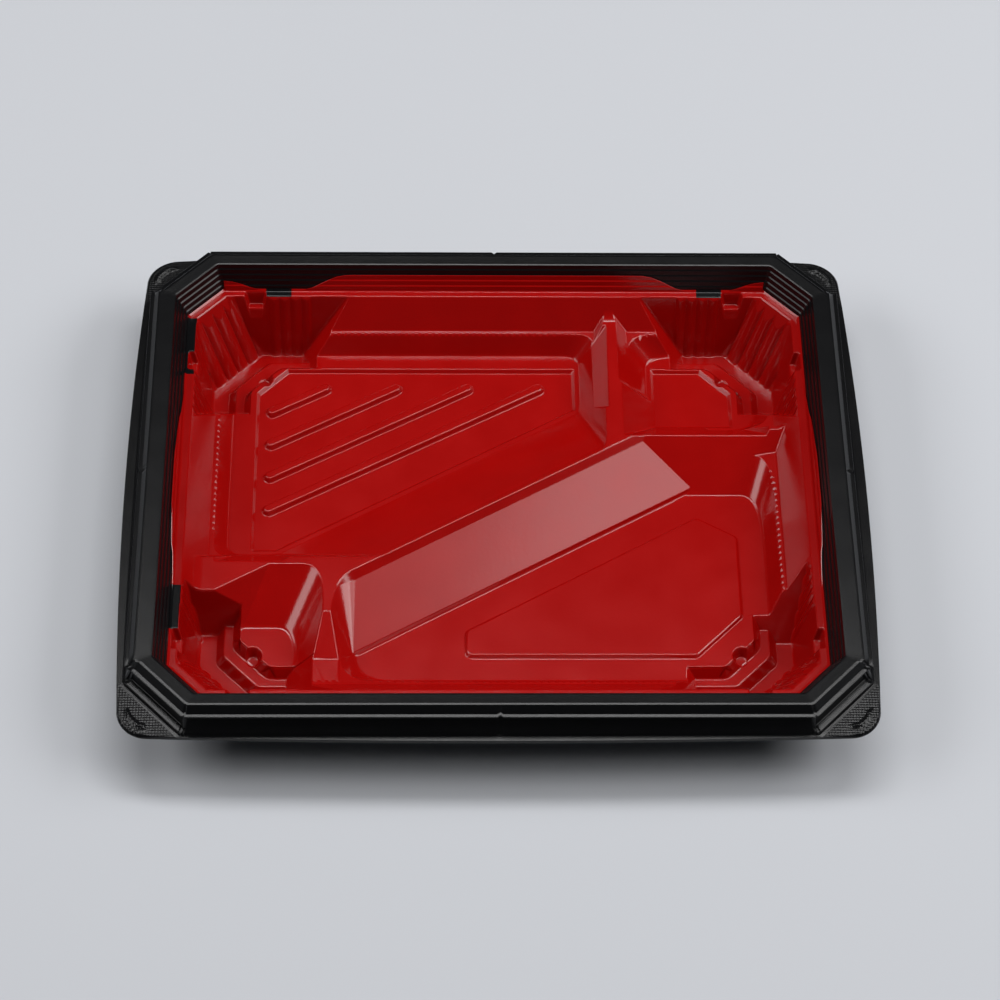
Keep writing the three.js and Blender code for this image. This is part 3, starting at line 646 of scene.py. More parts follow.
def foot_floor(face, bearings):
    """What a foot is sunk round: it falls away outside the floor's edge, and rises steeply inside it."""
    edges = (FLOOR_EDGE_INSET, FLOOR_EDGE_CHAMFER_INSET, FLOOR_LEVEL)
    falls = foot_falls(face, bearings, *edges, -FLOOR_EDGE_LEAN)
    overs = foot_falls(face, bearings, *edges, -OVER_LEAN)
    walls = [face.valley(0, fall, over) for fall, over in zip(falls, overs)]
    return face.ridge(ISLAND_CORNER, *walls)


def foot_step(face, bearings):
    """The step round the floor, half way down."""
    falls = foot_falls(
        face, bearings, STEP_EDGE_INSET, STEP_EDGE_CHAMFER_INSET, STEP_LEVEL, -STEP_EDGE_LEAN)
    return face.ridge(face.edge, face.flat(STEP_LEVEL), face.ridge(ISLAND_CORNER, *falls))


def foot_recess(face, sign_x, sign_y):
    """Round bite out of the floor's edge at a corner, down to the step."""
    dx = face.x - sign_x * (HALF_LENGTH - RECESS_INSET)
    dy = face.y - sign_y * (HALF_WIDTH - RECESS_INSET)
    distance = np.hypot(dx, dy) + TINY
    away = (dx / distance, dy / distance)
    wall = face.spread(distance, away, RECESS_RADIUS, FLOOR_LEVEL, RECESS_LEAN)
    return face.valley(POCKET_FILLET, face.flat(STEP_LEVEL), wall)


def foot(face, sign_x, sign_y):
    """Hollow foot at one corner: a fluted channel from the ledge down, round the stepped floor."""
    out_x = RIGHT if sign_x > 0 else LEFT
    out_y = FAR if sign_y > 0 else NEAR
    diagonal = (out_x + FAR_RIGHT * sign_x * sign_y) % 360
    beside_corner_well = sign_x < 0 and sign_y < 0
    end_x = HALF_LENGTH - FOOT_END_X_INSET
    end_y = HALF_WIDTH - (CORNER_FOOT_END_INSET if beside_corner_well else FOOT_END_Y_INSET)
    end_lean = CORNER_FOOT_END_LEAN if beside_corner_well else FOOT_END_Y_LEAN
    end_wall = face.plane(LEFT - out_x, -end_x, LEDGE_LEVEL, FOOT_END_X_LEAN)
    outer = face.valley(
        FOOT_CORNER,
        face.side(out_x, LEDGE_INSET, LEDGE_LEVEL, FOOT_END_WALL_LEAN, face.end_flutes),
        face.side(diagonal, LEDGE_INSET, LEDGE_LEVEL, FOOT_CHAMFER_LEAN, face.flutes),
        face.side(out_y, LEDGE_INSET, LEDGE_LEVEL, FOOT_SIDE_WALL_LEAN, face.side_flutes),
    )
    ends = [
        corner_divider(face) if beside_corner_well else end_wall,
        face.plane(-out_y, -end_y, LEDGE_LEVEL, end_lean),
    ]
    bearings = (out_x, diagonal, out_y)
    channel = face.valley(face.fillet, face.flat(FOOT_LEVEL), outer, *ends)
    return face.valley(POCKET_FILLET, channel, foot_floor(face, bearings), foot_step(face, bearings))


def notch(face, bearing, centre):
    """Stacking notch: a small drafted pocket that cuts the ledge on one side of a corner."""
    across = (bearing + FAR) % LEFT
    inner_reach = LEDGE_INSET + NOTCH_REACH_IN - opening_reach(bearing)
    walls = [
        face.side(bearing, THROAT_RUN, LEDGE_LEVEL, NOTCH_LEAN),
        face.plane(bearing + LEFT, inner_reach, LEDGE_LEVEL, NOTCH_LEAN),
        face.plane(across, centre + NOTCH_WIDTH / 2, LEDGE_LEVEL, NOTCH_LEAN),
        face.plane(across + LEFT, NOTCH_WIDTH / 2 - centre, LEDGE_LEVEL, NOTCH_LEAN),
    ]
    bottom = face.flat(LEDGE_LEVEL - NOTCH_DROP)
    return face.valley(POCKET_FILLET, bottom, face.valley(face.fillet, *walls))


def corner_pockets(face):
    """Both notches and the foot of every corner, with the bite out of its floor."""
    pockets = []
    for sign_x in (-1, 1):
        for sign_y in (-1, 1):
            notch_x = sign_x * (HALF_LENGTH - NOTCH_X_INSET)
            notch_y = sign_y * (HALF_WIDTH - (NOTCH_FAR_INSET if sign_y > 0 else NOTCH_NEAR_INSET))
            pockets.append(foot(face, sign_x, sign_y))
            pockets.append(foot_recess(face, sign_x, sign_y))
            pockets.append(notch(face, FAR if sign_y > 0 else NEAR, notch_x))
            pockets.append(notch(face, RIGHT if sign_x > 0 else LEFT, notch_y))
    return pockets


def drain_rib(face, start, end):
    """Round-ended bar: even out to half its width from its middle line, then falling away."""
    run = np.subtract(end, start)
    along = ((face.x - start[0]) * run[0] + (face.y - start[1]) * run[1]) / (run @ run)
    along = np.clip(along, 0, 1)
    dx = face.x - start[0] - along * run[0]
    dy = face.y - start[1] - along * run[1]
    distance = np.hypot(dx, dy) + TINY
    top = PANEL_LEVEL + RIB_HEIGHT
    fall = face.spread(distance, (dx / distance, dy / distance), RIB_WIDTH / 2, top, -RIB_LEAN)
    return face.ridge(face.edge, face.flat(top), fall)


def drain_ribs(face):
    """Ribs on the main well's floor, near enough along the crest, each ending beside the far side."""
    start_x = RIB_START_INSET - HALF_LENGTH
    end_y = HALF_WIDTH - RIB_END_INSET
    slope = math.tan(math.radians(RIB_TURN))
    fall = RIB_PITCH / math.cos(math.radians(RIB_TURN))
    starts = [HALF_WIDTH - RIB_FIRST_INSET - index * fall for index in range(RIB_COUNT)]
    return [drain_rib(face, (start_x, y), (start_x + (end_y - y) / slope, end_y)) for y in starts]


def raised_panel(face):
    """Raised panel on the front well's floor."""
    top = FLOOR_LEVEL + RAISED_PANEL
    inset = FLOOR_INSET + RAISED_PANEL_MARGIN
    lean = -RAISED_PANEL_LEAN
    back_foot = foot_reach(FAR_NEAR_Y - FAR_NEAR_TOP / 2, FRONT_FAR_LEAN)
    back_y = back_foot - RAISED_PANEL_BACK_GAP
    back_reach = reach_through(FAR_CUT_TURN, HALF_LENGTH - inset, back_y)
    ramp_reach = RAMP_BOTTOM_REACH - RAMP_FOOT_LEAN * RAMP_FOOT - RAISED_PANEL_RAMP_GAP
    walls = [
        face.side(RIGHT, inset, top, lean),
        face.plane(FAR_CUT_TURN, back_reach, top, lean),
        face.plane(FAR + CREST_TURN, ramp_reach, top, lean),
        face.plane(LEFT, -(CORNER_DIVIDER_X + RAISED_PANEL_LEFT_GAP), top, lean),
        face.side(NEAR, inset, top, lean),
        face.side(NEAR_RIGHT, FLOOR_EDGE_CHAMFER_INSET + RAISED_PANEL_MARGIN, top, lean),
    ]
    outline = face.ridge(RAISED_PANEL_RADIUS, *walls)
    return face.ridge(face.edge, face.flat(top), outline)


def tray_relief(x, y, depth, sizes):
    """Height and slopes of the tray inside its throat: the ledge, cut by every well, foot and notch."""
    face = Face(x, y, depth, sizes)
    wells = [make(face) for make in (bowl, main_well, far_well, front_well, corner_well, divider_facet)]
    cut = face.ridge(face.edge, ledge(face), *wells, *corner_pockets(face))
    return face.valley(RAISED_FILLET, cut, *drain_ribs(face), raised_panel(face))


class Surface(NamedTuple):
    """Points, triangles, and the normal at each corner of each triangle."""

    points: np.ndarray
    triangles: np.ndarray
    normals: np.ndarray


def grid_plan(pitch):
    """Plan points of an even grid over the opening, cut along its corners, and its triangles."""
    half_x = HALF_LENGTH - GRID_INSET
    half_y = HALF_WIDTH - GRID_INSET
    count_x = round(half_x / pitch)
    count_y = round(half_y / pitch)
    corner = int((HALF_DIAGONAL - GRID_CORNER_INSET) * math.sqrt(2) / pitch)
    column, row = np.meshgrid(np.arange(-count_x, count_x + 1), np.arange(-count_y, count_y + 1))
    kept = np.abs(column) + np.abs(row) <= corner
    index = np.where(kept, np.cumsum(kept).reshape(kept.shape) - 1, -1)
    a, b, c, d = index[:-1, :-1], index[:-1, 1:], index[1:, 1:], index[1:, :-1]
    rising = (column[:-1, :-1] >= 0) == (row[:-1, :-1] >= 0)
    one_way = [(a, b, d), (b, c, d)]
    other_way = [(a, b, c), (a, c, d)]
    found = []
    for pairs, chosen in ((one_way, rising), (other_way, ~rising)):
        for corners in pairs:
            triangle = np.stack([corner_index[chosen] for corner_index in corners], axis=1)
            found.append(triangle[(triangle >= 0).all(axis=1)])
    x = column[kept] * (half_x / count_x)
    y = row[kept] * (half_y / count_y)
    return x, y, np.concatenate(found)


def new_mesh(name, points, triangles):
    """A mesh from arrays of points and triangles."""
    mesh = bpy.data.meshes.new(name)
    mesh.vertices.add(len(points))
    mesh.vertices.foreach_set("co", np.ascontiguousarray(points, dtype=np.float32).ravel())
    mesh.loops.add(3 * len(triangles))
    mesh.loops.foreach_set("vertex_index", np.ascontiguousarray(triangles, dtype=np.int32).ravel())
    mesh.polygons.add(len(triangles))
    mesh.polygons.foreach_set("loop_start", np.arange(0, 3 * len(triangles), 3, dtype=np.int32))
    mesh.update(calc_edges=True)
    return mesh


def thinned(points, triangles, target):
    """The same surface with its flat stretches in fewer triangles."""
    mesh = new_mesh("thinning", points, triangles)
    carrier = bpy.data.objects.new("thinning", mesh)
    bpy.context.scene.collection.objects.link(carrier)
    thin = carrier.modifiers.new("thin", "DECIMATE")
    thin.ratio = min(1, target / len(triangles))
    graph = bpy.context.evaluated_depsgraph_get()
    shape = carrier.evaluated_get(graph).to_mesh()
    shape.calc_loop_triangles()
    kept = np.empty(3 * len(shape.vertices), dtype=np.float32)
    shape.vertices.foreach_get("co", kept)
    corners = np.empty(3 * len(shape.loop_triangles), dtype=np.int32)
    shape.loop_triangles.foreach_get("vertices", corners)
    bpy.data.objects.remove(carrier)
    bpy.data.meshes.remove(mesh)
    return kept.reshape(-1, 3).astype(float), corners.reshape(-1, 3)


def area_vectors(points, triangles):
    """Each triangle's normal, as long as twice its area."""
    a, b, c = (points[triangles[:, corner]] for corner in range(3))
    return np.cross(b - a, c - a)


def flat_normals(points, triangles):
    """Each triangle's own normal at its three corners."""
    normal = area_vectors(points, triangles)
    normal /= np.linalg.norm(normal, axis=1, keepdims=True) + LEAST_LENGTH
    return np.repeat(normal[:, None, :], 3, axis=1)


def smooth_normals(points, triangles):
    """At each point, the sum of the normals of its triangles, weighted by their areas."""
    weighted = area_vectors(points, triangles)
    total = np.zeros_like(points)
    for corner in range(3):
        np.add.at(total, triangles[:, corner], weighted)
    total /= np.linalg.norm(total, axis=1, keepdims=True) + LEAST_LENGTH
    return total[triangles]


def relief_normals(x, y, triangles, depth, sizes):
    """Normals of the tray's face at each triangle's corners, taken a little inside the triangle."""
    plan = np.stack([x, y], axis=1)[triangles]
    inner = plan + NORMAL_INSET * (plan.mean(axis=1, keepdims=True) - plan)
    relief = tray_relief(inner[..., 0].ravel(), inner[..., 1].ravel(), depth, sizes)
    normal = np.stack([-relief.gx, -relief.gy, np.ones_like(relief.gx)], axis=1)
    normal /= np.linalg.norm(normal, axis=1, keepdims=True)
    return normal.reshape(-1, 3, 3)


def rim_edges(triangles):
    """The edges that only one triangle has, in its order."""
    edges = np.concatenate([triangles[:, [0, 1]], triangles[:, [1, 2]], triangles[:, [2, 0]]])
    key = np.sort(edges, axis=1)
    _, first, count = np.unique(key, axis=0, return_index=True, return_counts=True)
    return edges[first[count == 1]]


def wells_surface(sizes, upper, lower, fitted, target):
    """Closed skin of the tray inside its throat, between two depths below the food side.

    The grid is thinned on the face that shows, and every point then goes back to its exact height.
    """
    x, y, triangles = grid_plan(sizes.pitch / MM)
    shape = np.stack([x, y, tray_relief(x, y, fitted, sizes).z], axis=1)
    shape, triangles = thinned(shape, triangles, target)
    x, y = shape[:, 0], shape[:, 1]
    count = len(shape)
    faces = [np.stack([x, y, tray_relief(x, y, depth, sizes).z], axis=1) for depth in (upper, lower)]
    points = np.concatenate(faces)
    under = triangles[:, ::-1] + count
    edges = rim_edges(triangles)
    walls = np.concatenate([
        np.stack([edges[:, 0], edges[:, 1] + count, edges[:, 1]], axis=1),
        np.stack([edges[:, 0], edges[:, 0] + count, edges[:, 1] + count], axis=1),
    ])
    over_normals = relief_normals(x, y, triangles, upper, sizes)
    under_normals = -relief_normals(x, y, under - count, lower, sizes)
    normals = np.concatenate([over_normals, under_normals, flat_normals(points, walls)])
    return Surface(points, np.concatenate([triangles, under, walls]), normals)


class RimPath(NamedTuple):
    """Points round the opening, each with what a profile needs there.

    A base point moves against its miter by each unit of inset. Along is its place on its side, from the
    middle, and half is half that side's length. Chamfer and end are 1 on a chamfer or a short end and 0 on a
    long side, or between on an arc that joins two sides. Bulge is the lip's bow there, and nick is 1 in the
    middle of a nick.
    """

    base: np.ndarray
    miter: np.ndarray
    along: np.ndarray
    half: np.ndarray
    bearing: np.ndarray
    chamfer: np.ndarray
    end: np.ndarray
    bulge: np.ndarray
    nick: np.ndarray


SIDE_SPACING = 3
CHAMFER_SPACING = 0.6
CORNER_STEPS = 4
ON_ARC = 0.5
NICK_WIDTH = 1.8
NICK_DEPTH = 0.7


def unit(bearing):
    return np.array([math.cos(math.radians(bearing)), math.sin(math.radians(bearing))])


def opening_corner(bearing):
    """Where a side of the opening meets the next, and how that corner moves for each unit of inset."""
    turn = math.radians(FAR_RIGHT)
    first, second = unit(bearing), unit(bearing + FAR_RIGHT)
    p, q = opening_reach(bearing), opening_reach((bearing + FAR_RIGHT) % 360)
    corner = (first * (p - q * math.cos(turn)) + second * (q - p * math.cos(turn))) / math.sin(turn) ** 2
    return corner, (first + second) / (1 + math.cos(turn))


def side_places(bearing, length):
    """Places along a side of the opening, from its middle, closer together round a nick."""
    spacing = CHAMFER_SPACING if is_chamfer(bearing) else SIDE_SPACING
    even = np.linspace(-length / 2, length / 2, math.ceil(length / spacing) + 1)
    if is_chamfer(bearing):
        return even
    return np.union1d(even[np.abs(even) > 2 * NICK_WIDTH], NICK_WIDTH * np.arange(-2, 3) / 2)


def side_bulge(bearing):
    """How far the lip bows out along a side."""
    if is_chamfer(bearing):
        return 0
    return LIP_BULGE_ENDS if is_end(bearing) else LIP_BULGE_SIDES


def rim_side(bearing):
    """One side of the opening's edge, and the small arc at its end."""
    trim = RIM_CORNER_RADIUS * math.tan(math.radians(FAR_RIGHT) / 2)
    before, miter_before = opening_corner((bearing - FAR_RIGHT) % 360)
    after, miter_after = opening_corner(bearing)
    length = np.linalg.norm(after - before) - 2 * trim
    along = side_places(bearing, length)
    share = (along / length + 0.5)[:, None]
    straight = (before + after) / 2 + along[:, None] * unit(bearing + FAR)
    straight_miter = miter_before + share * (miter_after - miter_before)
    steps = np.arange(1, CORNER_STEPS) / CORNER_STEPS
    turns = np.radians(bearing + FAR_RIGHT * steps)
    centre = after - trim * unit(bearing + FAR) - RIM_CORNER_RADIUS * unit(bearing)
    arc = centre + RIM_CORNER_RADIUS * np.stack([np.cos(turns), np.sin(turns)], axis=1)
    count = len(along) + len(arc)
    end = float(is_end(bearing))
    arc_end = 0.5 * (end + is_end(bearing + FAR_RIGHT))
    corner_nick = 1 - CORNER_STEPS * np.abs(steps - 0.5)
    side_nick = 0 * along if is_chamfer(bearing) else np.clip(1 - 2 * np.abs(along) / NICK_WIDTH, 0, 1)
    return RimPath(
        np.concatenate([straight, arc]),
        np.concatenate([straight_miter, np.tile(miter_after, (len(arc), 1))]),
        np.concatenate([along, np.full(len(arc), length / 2)]),
        np.full(count, length / 2),
        np.full(count, float(bearing)),
        np.concatenate([np.full(len(along), float(is_chamfer(bearing))), np.full(len(arc), ON_ARC)]),
        np.concatenate([np.full(len(along), end), np.full(len(arc), arc_end)]),
        np.full(count, float(side_bulge(bearing))),
        np.concatenate([side_nick, np.clip(corner_nick, 0, 1)]),
    )


def rim_path():
    """The eight-sided edge of the opening, going round from the right."""
    return RimPath(*(np.concatenate(columns) for columns in zip(*map(rim_side, EIGHTHS))))


def ring(path, inset, level, swell=0, nick=0):
    """One turn of a profile round the path: inset from the opening, at a level, its sides bowed out."""
    inset = np.broadcast_to(inset, path.along.shape) + nick * path.nick
    bow = swell * path.bulge * (1 - np.minimum(np.abs(path.along / path.half), 1) ** 2)
    heading = np.stack([np.cos(np.radians(path.bearing)), np.sin(np.radians(path.bearing))], axis=1)
    plan = path.base - inset[:, None] * path.miter + bow[:, None] * heading
    return np.column_stack([plan, np.broadcast_to(level, path.along.shape)])


# What an arc may take of the lines beside it, and the half angle past which a corner counts as straight
ARC_SHARE = 0.45
STRAIGHT = 1.56
PROFILE_STEPS = 4


def fillet_profile(points, radii, steps=PROFILE_STEPS):
    """A profile whose inner corners are turned into parabolas that start and end where arcs would.

    From a tangent point on each side, the curve is (1 - t)^2 first + 2 t (1 - t) corner + t^2 second.
    """
    points = np.asarray(points, dtype=float)
    found = [points[:1]]
    for before, corner, after, radius in zip(points[:-2], points[1:-1], points[2:], radii):
        back = before - corner
        ahead = after - corner
        room = ARC_SHARE * min(np.linalg.norm(back), np.linalg.norm(ahead))
        back /= np.linalg.norm(back)
        ahead /= np.linalg.norm(ahead)
        half = math.acos(np.clip(back @ ahead, -1, 1)) / 2
        tangent = min(radius / math.tan(half), room) if half < STRAIGHT else 0
        share = np.linspace(0, 1, steps + 1)[:, None]
        first, second = corner + tangent * back, corner + tangent * ahead
        found.append((1 - share) ** 2 * first + 2 * share * (1 - share) * corner + share ** 2 * second)
    found.append(points[-1:])
    return np.concatenate(found)


def throat_points(depth):
    """Profile of the throat, from the ledge up to the rim: inset and level of each riser's foot and head."""
    points = []
    for index in reversed(range(RIDGE_COUNT)):
        head = RIM_TOP - index * THROAT_STEP
        inset = index * THROAT_RUN / RIDGE_COUNT
        run = THROAT_RUN / RIDGE_COUNT - RIDGE_TREAD
        points.append((inset + run - depth, head - THROAT_STEP + TREAD_DROP - depth))
        points.append((inset - depth, head - depth))
    return points


# Skirt from the edge of the land out to the hem, on each kind of side: reach from the opening, and drop
SKIRT_SIDES = (
    (3.9, 0), (4.6, 0.05), (6.5, 2.35), (8.1, 2.47), (5.2, 4.4), (9.0, 9.7), (9.2, 9.95), (9.3, 10.05))
SKIRT_ENDS = (
    (5.4, 0), (6, 0.08), (7.6, 1.7), (9.1, 1.87), (7.0, 3.6), (9.6, 9.7), (9.8, 9.95), (9.9, 10.05))
SKIRT_CORNERS = (
    (4, 0), (4.8, 0.07), (6.5, 2.34), (8.0, 2.47), (6.2, 4.4), (7.4, 8.6), (9.8, 8.8), (10.0, 10.05))
SKIRTS = (SKIRT_SIDES, SKIRT_ENDS, SKIRT_CORNERS)
SKIRT_RADII = (0.5, 0.3, 0.25, 0.25, 0.3, 0.3, 0.3)
NICKED_DROPS = (1.6, 10)
HEM_SWELL = 0.3
LIP_LEVEL = HEIGHT - LIP_DROP
LIP_RAISE = 0.6
LIP_FALL = 0.15
LIP_SHARES = np.linspace(0.07, 0.93, 15)
LIP_EDGE = 0.2
LIP_BACK_SHARE = 0.1
LIP_FARTHEST = 40.0
LIP_HALVINGS = 40
LIP_FAN_POWER = 12

# Raised crescent on each corner tab, round the middle of the tab's arc
CRESCENT_RADIUS = 6.5
CRESCENT_WIDTH = 1.4
CRESCENT_HEIGHT = 0.8
CRESCENT_SWEEP = 42
CRESCENT_FADE = 8

# Ends of the throat's profile and the print's, and the throat's back from the land down: inset and level
THROAT_START = (3.7, 24.4)
PRINT_START = (3.9, LEDGE_LEVEL - 0.2)
PRINT_END = (-0.2, RIM_TOP)
THROAT_BACK = ((-0.6, HEIGHT - 0.9), (0, HEIGHT - 1.6), (3.05, 23.95), (3.65, 23.95))


LAND_MIDDLE = (-RIM_LAND / 2, HEIGHT - RIM_DISH / 2)


def hung(points):
    """Insets and levels of a skirt that is given by its reaches and drops."""
    return [(-reach, HEIGHT - drop) for reach, drop in points]


def skirt_profile(points):
    """Land and skirt from the middle of the land out to the hem: inset and level, with soft edges."""
    return fillet_profile([LAND_MIDDLE, *hung(points)], SKIRT_RADII)


def skirt_ring(path, side, end, corner, depth=0):
    """One turn of the skirt, blended between the profiles of sides, ends and corners, a depth inside it."""
    on_end = path.end[:, None] * (end - side)
    on_corner = path.chamfer[:, None] * (corner - side)
    inset, level = (side + on_end + on_corner).T
    drop = HEIGHT - level
    nicked = NICK_DEPTH * ((drop > NICKED_DROPS[0]) & (drop < NICKED_DROPS[1]))
    return ring(path, inset + depth, level - depth, HEM_SWELL * (drop / LIP_DROP) ** 3, nicked)


def lip_gap(x, y):
    """How far a plan point lies outside the lip: a round-cornered rectangle whose sides bow out."""
    corner_x = LENGTH / 2 - LIP_BULGE_ENDS - LIP_CORNER_RADIUS
    corner_y = WIDTH / 2 - LIP_BULGE_SIDES - LIP_CORNER_RADIUS
    bow_x = LIP_BULGE_ENDS * (1 - np.minimum(np.abs(y) / corner_y, 1) ** 2)
    bow_y = LIP_BULGE_SIDES * (1 - np.minimum(np.abs(x) / corner_x, 1) ** 2)
    over_x = np.abs(x) - corner_x - bow_x
    over_y = np.abs(y) - corner_y - bow_y
    outside = np.hypot(np.maximum(over_x, 0), np.maximum(over_y, 0))
    return outside + np.minimum(np.maximum(over_x, over_y), 0) - LIP_CORNER_RADIUS


def lip_headings(path):
    """Directions from the hem out to the lip: square to a side, and fanned out across a corner tab."""
    share = path.along / path.half
    lean = np.where(path.chamfer == 1, share, np.sign(share) * np.abs(share) ** LIP_FAN_POWER)
    lean = np.where(path.chamfer == ON_ARC, 1, lean)
    angle = np.radians(path.bearing + 0.5 * FAR_RIGHT * lean)
    return np.stack([np.cos(angle), np.sin(angle)], axis=1)


def lip_plan(path, hem):
    """Where rays from the hem meet the lip's outline, found by halving the span that holds it."""
    heading = lip_headings(path)
    near = np.zeros(len(hem))
    far = np.full(len(hem), LIP_FARTHEST)
    for _ in range(LIP_HALVINGS):
        middle = (near + far) / 2
        at = hem + middle[:, None] * heading
        inside = lip_gap(at[:, 0], at[:, 1]) < 0
        near = np.where(inside, middle, near)
        far = np.where(inside, far, middle)
    return hem + near[:, None] * heading


def crescent(plan):
    """Height of the tabs' crescents: a round-backed rib along an arc, fading at both ends."""
    dx = np.abs(plan[:, 0]) - (LENGTH / 2 - LIP_BULGE_ENDS - LIP_CORNER_RADIUS)
    dy = np.abs(plan[:, 1]) - (WIDTH / 2 - LIP_BULGE_SIDES - LIP_CORNER_RADIUS)
    across = (np.hypot(dx, dy) - CRESCENT_RADIUS) / (CRESCENT_WIDTH / 2)
    turn = np.abs(np.degrees(np.arctan2(dy, dx)) - FAR_RIGHT)
    fade = np.clip((CRESCENT_SWEEP - turn) / CRESCENT_FADE, 0, 1)
    return CRESCENT_HEIGHT * fade * np.clip(1 - across ** 2, 0, 1)


def throat_rows(path):
    """Throat and the inner half of the land."""
    *risers, (head_inset, head) = throat_points(FACE)
    bevel = [(head_inset, head - RIM_BEVEL_DROP), (head_inset - RIM_BEVEL_RUN, head)]
    radii = [RIDGE_RADIUS] * (2 * RIDGE_COUNT) + [RIM_EDGE_RADIUS]
    profile = fillet_profile([THROAT_START, *risers, *bevel, LAND_MIDDLE], radii, RIDGE_STEPS)
    return [ring(path, inset, level) for inset, level in profile[:-1]]


def skirt_rows(path):
    """Outer half of the land and the skirt, whose corners have wider treads, with a nick in each side."""
    return [skirt_ring(path, *points) for points in zip(*map(skirt_profile, SKIRTS))]


def lip_rows(path, hem):
    """Lip and corner tabs, from the hem out to the lip's edge and back under it."""
    lip = lip_plan(path, hem)
    rows = []
    for share in LIP_SHARES:
        plan = hem + share * (lip - hem)
        level = LIP_LEVEL + LIP_RAISE + LIP_FALL * (1 - share) + crescent(plan)
        rows.append(np.column_stack([plan, level]))
    back = hem + LIP_BACK_SHARE * (lip - hem)
    for plan, drop in ((lip, LIP_EDGE), (lip, SHEET), (back, SHEET)):
        rows.append(np.column_stack([plan, np.full(len(plan), LIP_LEVEL - drop)]))
    return rows


def under_rows(path):
    """Underside of the rim, from the hem in to the throat."""
    corners = [map(np.array, points) for points in zip(*map(hung, SKIRTS))]
    rows = [skirt_ring(path, *points, SHEET) for points in reversed(corners)]
    return rows + [ring(path, inset, level) for inset, level in THROAT_BACK]


def rim_surface(path):
    """Throat, land, skirt and lip of the sheet: one closed profile carried round the opening."""
    rows = throat_rows(path) + skirt_rows(path)
    rows += lip_rows(path, rows[-1][:, :2])
    return swept(rows + under_rows(path))


def swept(rows):
    """Closed surface over rows of points that go round a closed path, the last row joined to the first."""
    rows = np.asarray(rows)
    count_rows, count = rows.shape[:2]
    index = np.arange(count_rows * count).reshape(count_rows, count)
    a, b = index, np.roll(index, -1, axis=1)
    c, d = np.roll(b, -1, axis=0), np.roll(a, -1, axis=0)
    triangles = np.concatenate([
        np.stack([a.ravel(), b.ravel(), c.ravel()], axis=1),
        np.stack([a.ravel(), c.ravel(), d.ravel()], axis=1),
    ])
    return outward(rows.reshape(-1, 3), triangles)


def outward(points, triangles):
    """A closed surface whose triangles face out, told by the sign of the volume they hold."""
    a, b, c = (points[triangles[:, corner]] for corner in range(3))
    volume = np.einsum("ij,ij->", a, np.cross(b, c))
    if volume < 0:
        triangles = triangles[:, ::-1]
    return Surface(points, triangles, smooth_normals(points, triangles))


def half_wave(value):
    """From 0 to 1 as a half wave of a cosine, and level on both sides."""
    return 0.5 - 0.5 * np.cos(np.pi * np.clip(value, 0, 1))


def print_edge(path):
    """Level of the print's upper edge round the throat.

    An arch on each long side falls to the ledge. Past the notch the edge climbs again to the corner of a
    far or near side. Across the corners it keeps to the ledge.
    """
    place = np.abs(path.along)
    ends = is_end(path.bearing)
    flat = np.where(ends, PRINT_FLAT_ENDS, PRINT_FLAT_SIDES)
    foot_at = np.where(ends, PRINT_FOOT_ENDS, PRINT_FOOT_SIDES)
    rise = np.where(ends, PRINT_RISE_ENDS, PRINT_RISE_SIDES)
    arch = rise * (1 - half_wave((place - flat) / (foot_at - flat)))
    climb_share = (place - PRINT_CLIMB_FROM) / (path.half - PRINT_CLIMB_FROM)
    climb = np.where(ends, 0, PRINT_CLIMB * half_wave(climb_share))
    return LEDGE_LEVEL + PRINT_ABOVE_LEDGE + np.where(path.chamfer > 0, 0, arch + climb)


def print_band(path):
    """Printed band on the throat, from the ledge up to the print's edge, as a thin closed skin."""
    points = [PRINT_START, *throat_points(0), PRINT_END]
    profile = fillet_profile(points, [RIDGE_RADIUS] * (2 * RIDGE_COUNT), RIDGE_STEPS)
    profile = profile[profile[:, 1] < LEDGE_LEVEL + PRINT_RISE_SIDES + PRINT_SPARE]
    levels = np.minimum(profile[:, 1][:, None], print_edge(path)[None, :])
    insets = np.interp(levels, profile[:, 1], profile[:, 0])
    front = [ring(path, inset, level) for inset, level in zip(insets, levels)]
    back = [ring(path, inset - FILM, level) for inset, level in zip(insets, levels)]
    surface = swept(front + back[::-1])
    kept = np.linalg.norm(area_vectors(surface.points, surface.triangles), axis=1) > LEAST_AREA
    return Surface(surface.points, surface.triangles[kept], surface.normals[kept])


def add_piece(name, surfaces, material):
    """One object from some surfaces, with their normals, its place in its mesh."""
    offsets = np.cumsum([0] + [len(each.points) for each in surfaces[:-1]])
    points = np.concatenate([each.points for each in surfaces]) * MM
    triangles = np.concatenate([each.triangles + start for each, start in zip(surfaces, offsets)])
    normals = np.concatenate([each.normals for each in surfaces])
    mesh = new_mesh(name, points, triangles)
    mesh.polygons.foreach_set("use_smooth", np.ones(len(triangles), dtype=bool))
    mesh.normals_split_custom_set(normals.reshape(-1, 3))
    mesh.materials.append(material)
    piece = bpy.data.objects.new(name, mesh)
    bpy.context.scene.collection.objects.link(piece)
    return piece


# Finishes: roughness from and to, height of the grain in millimetres, and noise scales of grain and patches
FILM_ROUGHNESS = (0.11, 0.17)
FILM_PEEL = 0.018
FILM_PEEL_SCALE = 1.1
FILM_PATCH_SCALE = 0.08
SHEET_ROUGHNESS = (0.21, 0.27)
SHEET_GRAIN = 0.02
SHEET_GRAIN_SCALE = 3.0
SHEET_PATCH_SCALE = 0.1
SHEET_SPECULAR = 0.28
TINT_SPREAD = 0.1

# Crossed ridges on the corner tabs, which start where |x| + |y| passes a value, and their height in grains
HATCH_PITCH = 1.8
HATCH_HEIGHT = 2
TAB_START = 193.5

